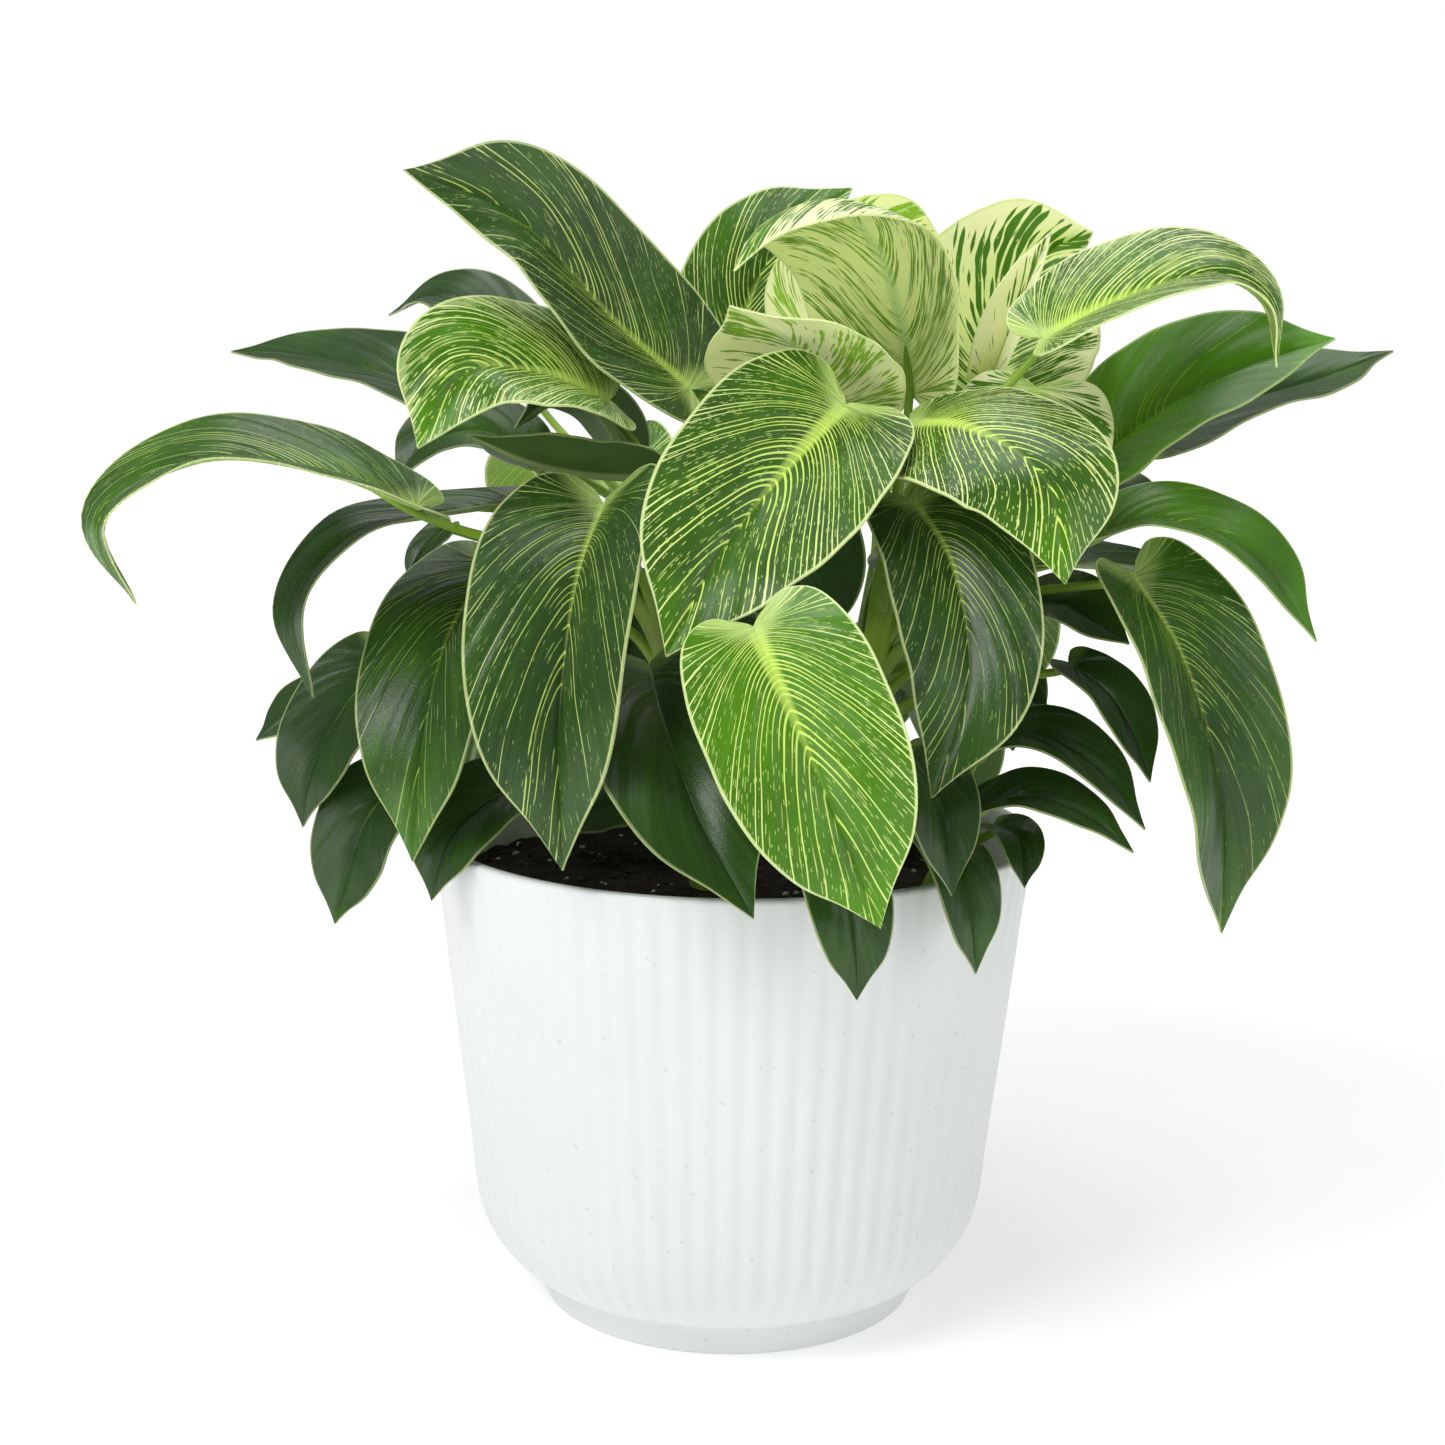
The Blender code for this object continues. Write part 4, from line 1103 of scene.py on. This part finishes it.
def upper_side(name, roughness, gloss, glow):
    """The upper side of a blade: deep glossy green, pinstriped, with a bright midrib and a pale margin."""
    surface = blade_surface(name, gloss, glow)
    along, share, edge, out = vein_values(surface)
    growth = growth_values(surface)
    amount, fresh, cream, _ = growth
    place = surface.place()
    side_out = abs(out) - VEIN_MAP
    stripes, _ = stripes_of(surface, edge, out, share, along, growth)
    cloud = surface.noise(place, 0.035, 2.0)
    patch = surface.noise(surface.vector(edge * 0.12, out * 0.06, 8.0), detail=2.0)
    green_share = fresh + (cloud - 0.5) * 0.8 + (patch - 0.5) * 0.4
    green_share = green_share + surface.step(along, 0.70, 1.0) * fresh * 0.5
    green = surface.mix(surface.step(green_share, 0.0, 1.05), DEEP, FRESH)
    hair = surface.noise(surface.vector(edge * 1.6, out * 0.10, 9.0), detail=2.0)
    green = surface.mix(surface.step(hair, 0.45, 0.75) * 0.16, green, HAIR)
    light = surface.mix(surface.step(cream + share * 0.35, 0.05, 0.75), STRIPE, CREAM)
    reach = surface.step(0.62 - along, 0.0, 0.55)
    midrib = 1 - surface.step(side_out, 0.25 + amount * reach * 0.7, 0.6 + amount * reach * 3.0)
    midrib_light = midrib * (0.10 + amount * 0.75) * (0.06 + reach)
    root = (1 - surface.step(along + side_out * 0.008, 0.015, 0.10)) * (0.25 + amount * 0.6)
    margin = surface.step(share, 0.968, 0.984)
    colour = surface.mix(stripes * (0.30 + amount * 0.85 + cream) & 0.95, green, light)
    colour = surface.mix(midrib_light & 0.92, colour, RIB)
    colour = surface.mix(root, colour, ROOT)
    colour = surface.mix(margin * (0.35 + amount * 0.6) & 0.9, colour, RIM)
    grain = surface.noise(place, 2.2, 2.0)
    swell = surface.noise(surface.vector(edge * 0.10, out * 0.03, 3.0), detail=1.0)
    normal = surface.bump(swell, 0.6, 2.0)
    normal = surface.bump(hair, 0.16, 0.25, normal)
    normal = surface.bump(grain, 0.35, 0.22, normal)
    rough = roughness + (grain - 0.5) * 0.25 + stripes * 0.06
    return surface.finish(colour, rough, normal)


def under_side(name, glow):
    """The underside: paler and duller, with soft broad stripes and a pale raised midrib."""
    surface = blade_surface(name, UNDER_GLOSS, glow)
    along, share, edge, out = vein_values(surface)
    amount, fresh, cream, length = growth_values(surface)
    cream = cream * UNDER_PALER
    place = surface.place()
    side_out = abs(out) - VEIN_MAP
    stripes, dash = stripes_of(surface, edge, out, share, along, (amount, fresh, cream, length))
    cloud = surface.noise(place, 0.04, 2.0)
    green = surface.mix(surface.step(fresh + (cloud - 0.5) * 0.6, 0.0, 1.1), UNDER_DEEP, UNDER_FRESH)
    light = surface.mix(surface.step(cream, 0.1, 0.7), UNDER_STRIPE, UNDER_CREAM)
    colour = surface.mix(stripes * (0.50 + cream * 0.8) & 0.95, green, light)
    midrib = 1 - surface.step(side_out, 0.5 + (1 - along) * 0.7, 1.0 + (1 - along) * 2.0)
    colour = surface.mix(midrib * (0.35 + cream * 0.6), colour, UNDER_RIB)
    margin = surface.step(share, 0.965, 0.985)
    colour = surface.mix(margin * (0.4 + amount * 0.5), colour, RIM)
    grain = surface.noise(place, 1.8, 2.0)
    normal = surface.bump(dash, 0.2, 0.3)
    normal = surface.bump(grain, 0.25, 0.2, normal)
    return surface.finish(colour, UNDER_ROUGHNESS + (grain - 0.5) * 0.2, normal)


def stalk_surface():
    """Fresh lime stalk, paler at its sheath, with fine lines along it."""
    surface = Surface("leafstalk_skin", Roughness=0.42, Specular_IOR_Level=0.4)
    along, around = surface.map("stalk")
    place = surface.place()
    lines = surface.noise(surface.vector(along * 1.5, around * 26.0, 1.0), detail=3.0)
    cloud = surface.noise(place, 0.05, 2.0)
    colour = surface.mix(surface.step(cloud, 0.3, 0.7), STALK_DARK, STALK_LIGHT)
    colour = surface.mix(surface.step(lines, 0.52, 0.75) * 0.4, colour, STALK_LINE)
    colour = surface.mix((1 - surface.step(along, 0.0, 0.35)) * 0.35, colour, STALK_BASE)
    flecks = surface.step(surface.noise(place, 0.9, 1.0), 0.66, 0.72)
    colour = surface.mix(flecks * 0.35, colour, STALK_FLECK)
    normal = surface.bump(lines, 0.3, 0.3)
    return surface.finish(colour, 0.38 + lines * 0.12, normal)


def pot_surface():
    """White satin ceramic, a little uneven in tone, with a few faint specks."""
    surface = Surface("white_pot_glaze", Specular_IOR_Level=0.5)
    place = surface.place()
    cloud = surface.noise(place, 0.02, 3.0)
    fine = surface.noise(place, 0.5, 3.0)
    speck = surface.step(surface.noise(place, 0.55, 0.0), 0.80, 0.82)
    colour = surface.mix(surface.step(cloud, 0.3, 0.7), GLAZE_COOL, GLAZE_WARM)
    colour = surface.mix(speck * 0.3, colour, GLAZE_SPECK)
    normal = surface.bump(fine, 0.12, 0.15)
    return surface.finish(colour, 0.34 + (fine - 0.5) * 0.2, normal)


def soil_surface():
    """Dark moist mix of peat and fine bark."""
    surface = Surface("soil_mix", Specular_IOR_Level=0.25)
    place = surface.place()
    clods = surface.noise(place, 0.35, 5.0, 0.65)
    crumbs = surface.cells(place, 0.8)
    colour = surface.mix(surface.step(clods, 0.3, 0.75), SOIL_DARK, SOIL_BROWN)
    light = surface.step(surface.noise(place, 1.5, 2.0), 0.66, 0.74)
    colour = surface.mix(light * 0.7, colour, SOIL_FLAKE)
    normal = surface.bump(clods, 1.0, 1.6)
    normal = surface.bump(crumbs, 0.8, 0.8, normal)
    return surface.finish(colour, 0.85 + (clods - 0.5) * 0.3, normal)


def bits_surface(name, dark, light, scale, roughness):
    """Loose bits of the mix: perlite, bark or crumbs."""
    surface = Surface(name, Specular_IOR_Level=0.25)
    place = surface.place()
    shade = surface.noise(place, scale, 3.0)
    colour = surface.mix(surface.step(shade, 0.35, 0.7), dark, light)
    return surface.finish(colour, roughness + (shade - 0.5) * 0.2, surface.bump(shade, 0.6, 0.4))


def floor_surface():
    """The plain pale floor, which fades to white away from the pot."""
    surface = Surface("pale_floor", Roughness=0.9, Specular_IOR_Level=0.1, Emission_Strength=1.0)
    place = surface.place()
    grain = surface.noise(place, 0.01, 2.0)
    away = surface.node("ShaderNodeVectorMath", {"operation": "LENGTH"}, {0: place}, "Value")
    glow = surface.step(away, 150.0, 1500.0)
    surface.feed(surface.shader.inputs["Emission Color"],
                 surface.mix(glow, (0.32, 0.32, 0.32), (0.85, 0.85, 0.85)))
    return surface.finish(surface.mix(grain, (0.86, 0.86, 0.86), (0.89, 0.89, 0.89)))


# Studio


# Each lamp, in metres and watts: its place, the point it shines at, its width and height, and its power.
LAMPS = {
    "broad_lamp": ((-0.70, -0.75, 1.25), (0, 0, 0.2), (0.7, 0.7), 11.5),
    "side_lamp": ((1.2, -0.7, 0.6), (0, 0, 0.15), (0.9, 0.9), 4.2),
    "low_lamp": ((-0.9, -1.2, 0.25), (0, 0, 0.08), (0.8, 0.5), 3.4),
    "top_lamp": ((0.1, 0.3, 1.3), (0, 0, 0.25), (0.9, 0.9), 6.5),
}
ROOM_COLOUR = (0.97, 0.985, 1.0, 1.0)
ROOM_LIGHT = 0.30
WHITE = (1.0, 1.0, 1.0, 1.0)

# The floor's width in metres
FLOOR_SIZE = 12

# The camera, in metres and radians
CAMERA_PLACE = (-0.0035, -0.670, 0.2944)
CAMERA_DROP = 0.1777
CAMERA_ROLL = 0.0123
CAMERA_LENS = 56.96
CAMERA_SENSOR = 36


def add_lamp(name, place, target, size, power):
    lamp = bpy.data.lights.new(name, "AREA")
    lamp.shape = "RECTANGLE"
    lamp.size, lamp.size_y = size
    lamp.energy = power
    thing = bpy.data.objects.new(name, lamp)
    bpy.context.scene.collection.objects.link(thing)
    thing.location = place
    thing.rotation_euler = (Vector(target) - Vector(place)).to_track_quat("-Z", "Y").to_euler()


def light_studio():
    """A white room with a broad soft lamp high on the left, and weaker ones right, low and above."""
    scene = bpy.context.scene
    scene.view_settings.view_transform = "Standard"
    world = bpy.data.worlds.new("white_room")
    scene.world = world
    world.use_nodes = True
    tree = world.node_tree
    room = tree.nodes["Background"]
    room.inputs["Color"].default_value = ROOM_COLOUR
    room.inputs["Strength"].default_value = ROOM_LIGHT
    seen = tree.nodes.new("ShaderNodeBackground")
    seen.inputs["Color"].default_value = WHITE
    seen.inputs["Strength"].default_value = 1.0
    rays = tree.nodes.new("ShaderNodeLightPath")
    blend = tree.nodes.new("ShaderNodeMixShader")
    tree.links.new(rays.outputs["Is Camera Ray"], blend.inputs[0])
    tree.links.new(room.outputs[0], blend.inputs[1])
    tree.links.new(seen.outputs[0], blend.inputs[2])
    tree.links.new(blend.outputs[0], tree.nodes["World Output"].inputs["Surface"])
    for name, lamp in LAMPS.items():
        add_lamp(name, *lamp)


def set_camera():
    """The photograph's own view, fitted to the pot's rim and foot."""
    camera = bpy.data.cameras.new("camera")
    camera.lens = CAMERA_LENS
    camera.sensor_width = CAMERA_SENSOR
    camera.clip_start, camera.clip_end = 0.05, 30
    thing = bpy.data.objects.new("camera", camera)
    bpy.context.scene.collection.objects.link(thing)
    tilt = math.radians(90) - CAMERA_DROP
    thing.matrix_world = (Matrix.Translation(CAMERA_PLACE)
                          @ Matrix.Rotation(tilt, 4, "X") @ Matrix.Rotation(CAMERA_ROLL, 4, "Z"))
    bpy.context.scene.camera = thing


def lay_floor():
    """A wide white floor under the pot, which is part of the studio and not of the plant."""
    deselect()
    bpy.ops.mesh.primitive_plane_add(size=FLOOR_SIZE, location=(0, 0, 0))
    floor = newest("floor")
    pick(floor, faces=lambda face: True)
    bpy.ops.mesh.subdivide(number_cuts=3)
    bpy.ops.object.mode_set(mode="OBJECT")
    floor.data.materials.append(floor_surface())


# The whole


# The finish of each look's upper side: its roughness, its gloss and how much light it lets through.
GLOSS = {
    "plain_leaf": (0.27, 0.32, 0.0), "striped_leaf": (0.25, 0.30, 0.0), "bright_leaf": (0.25, 0.28, 0.0),
    "pale_leaf": (0.38, 0.25, 0.8), "new_leaf": (0.45, 0.25, 0.8),
}


def build():
    """Makes every piece and gives it its finish."""
    blank, sheet = make_blade_blank()
    uppers = {look: upper_side(look + "_upper", *finish) for look, finish in GLOSS.items()}
    unders = {look: under_side(look + "_under", glow) for look, (_, _, glow) in GLOSS.items()}
    stalk_blank = make_stalk_blank()
    stalk_skin = stalk_surface()
    for order, (name, leaf) in enumerate({**LEAVES, **INSIDE_LEAVES}.items()):
        inside = name in INSIDE_LEAVES
        blade = make_leaf(name, leaf, blank, sheet, order)
        give(blade, leaf.look, uppers[leaf.look], unders[leaf.look], node=None if inside else name)
        if inside:
            give(make_stalk(name, leaf, stalk_blank), "leafstalk", stalk_skin)
    for name in SHOOTS:
        give(make_shoot(name, stalk_blank), "leafstalk", stalk_skin, node=name)
    give(make_pot(), "white_pot", pot_surface(), node="pot")
    give(make_soil(), "soil", soil_surface(), node="soil")
    lumps = {shape: [make_crumb_blank(f"{shape}_{k}", flat, seed * k, rough) for k in range(LUMP_KINDS)]
             for shape, (flat, seed, rough) in LUMPS.items()}
    for name, (shape, *how, skin) in LITTER.items():
        give(scatter(name, lumps[shape], *how), "soil", bits_surface(*skin))
    for spare in (blank, stalk_blank, *lumps["lump"], *lumps["chip"]):
        bpy.data.objects.remove(spare)


build()
lay_floor()
light_studio()
set_camera()
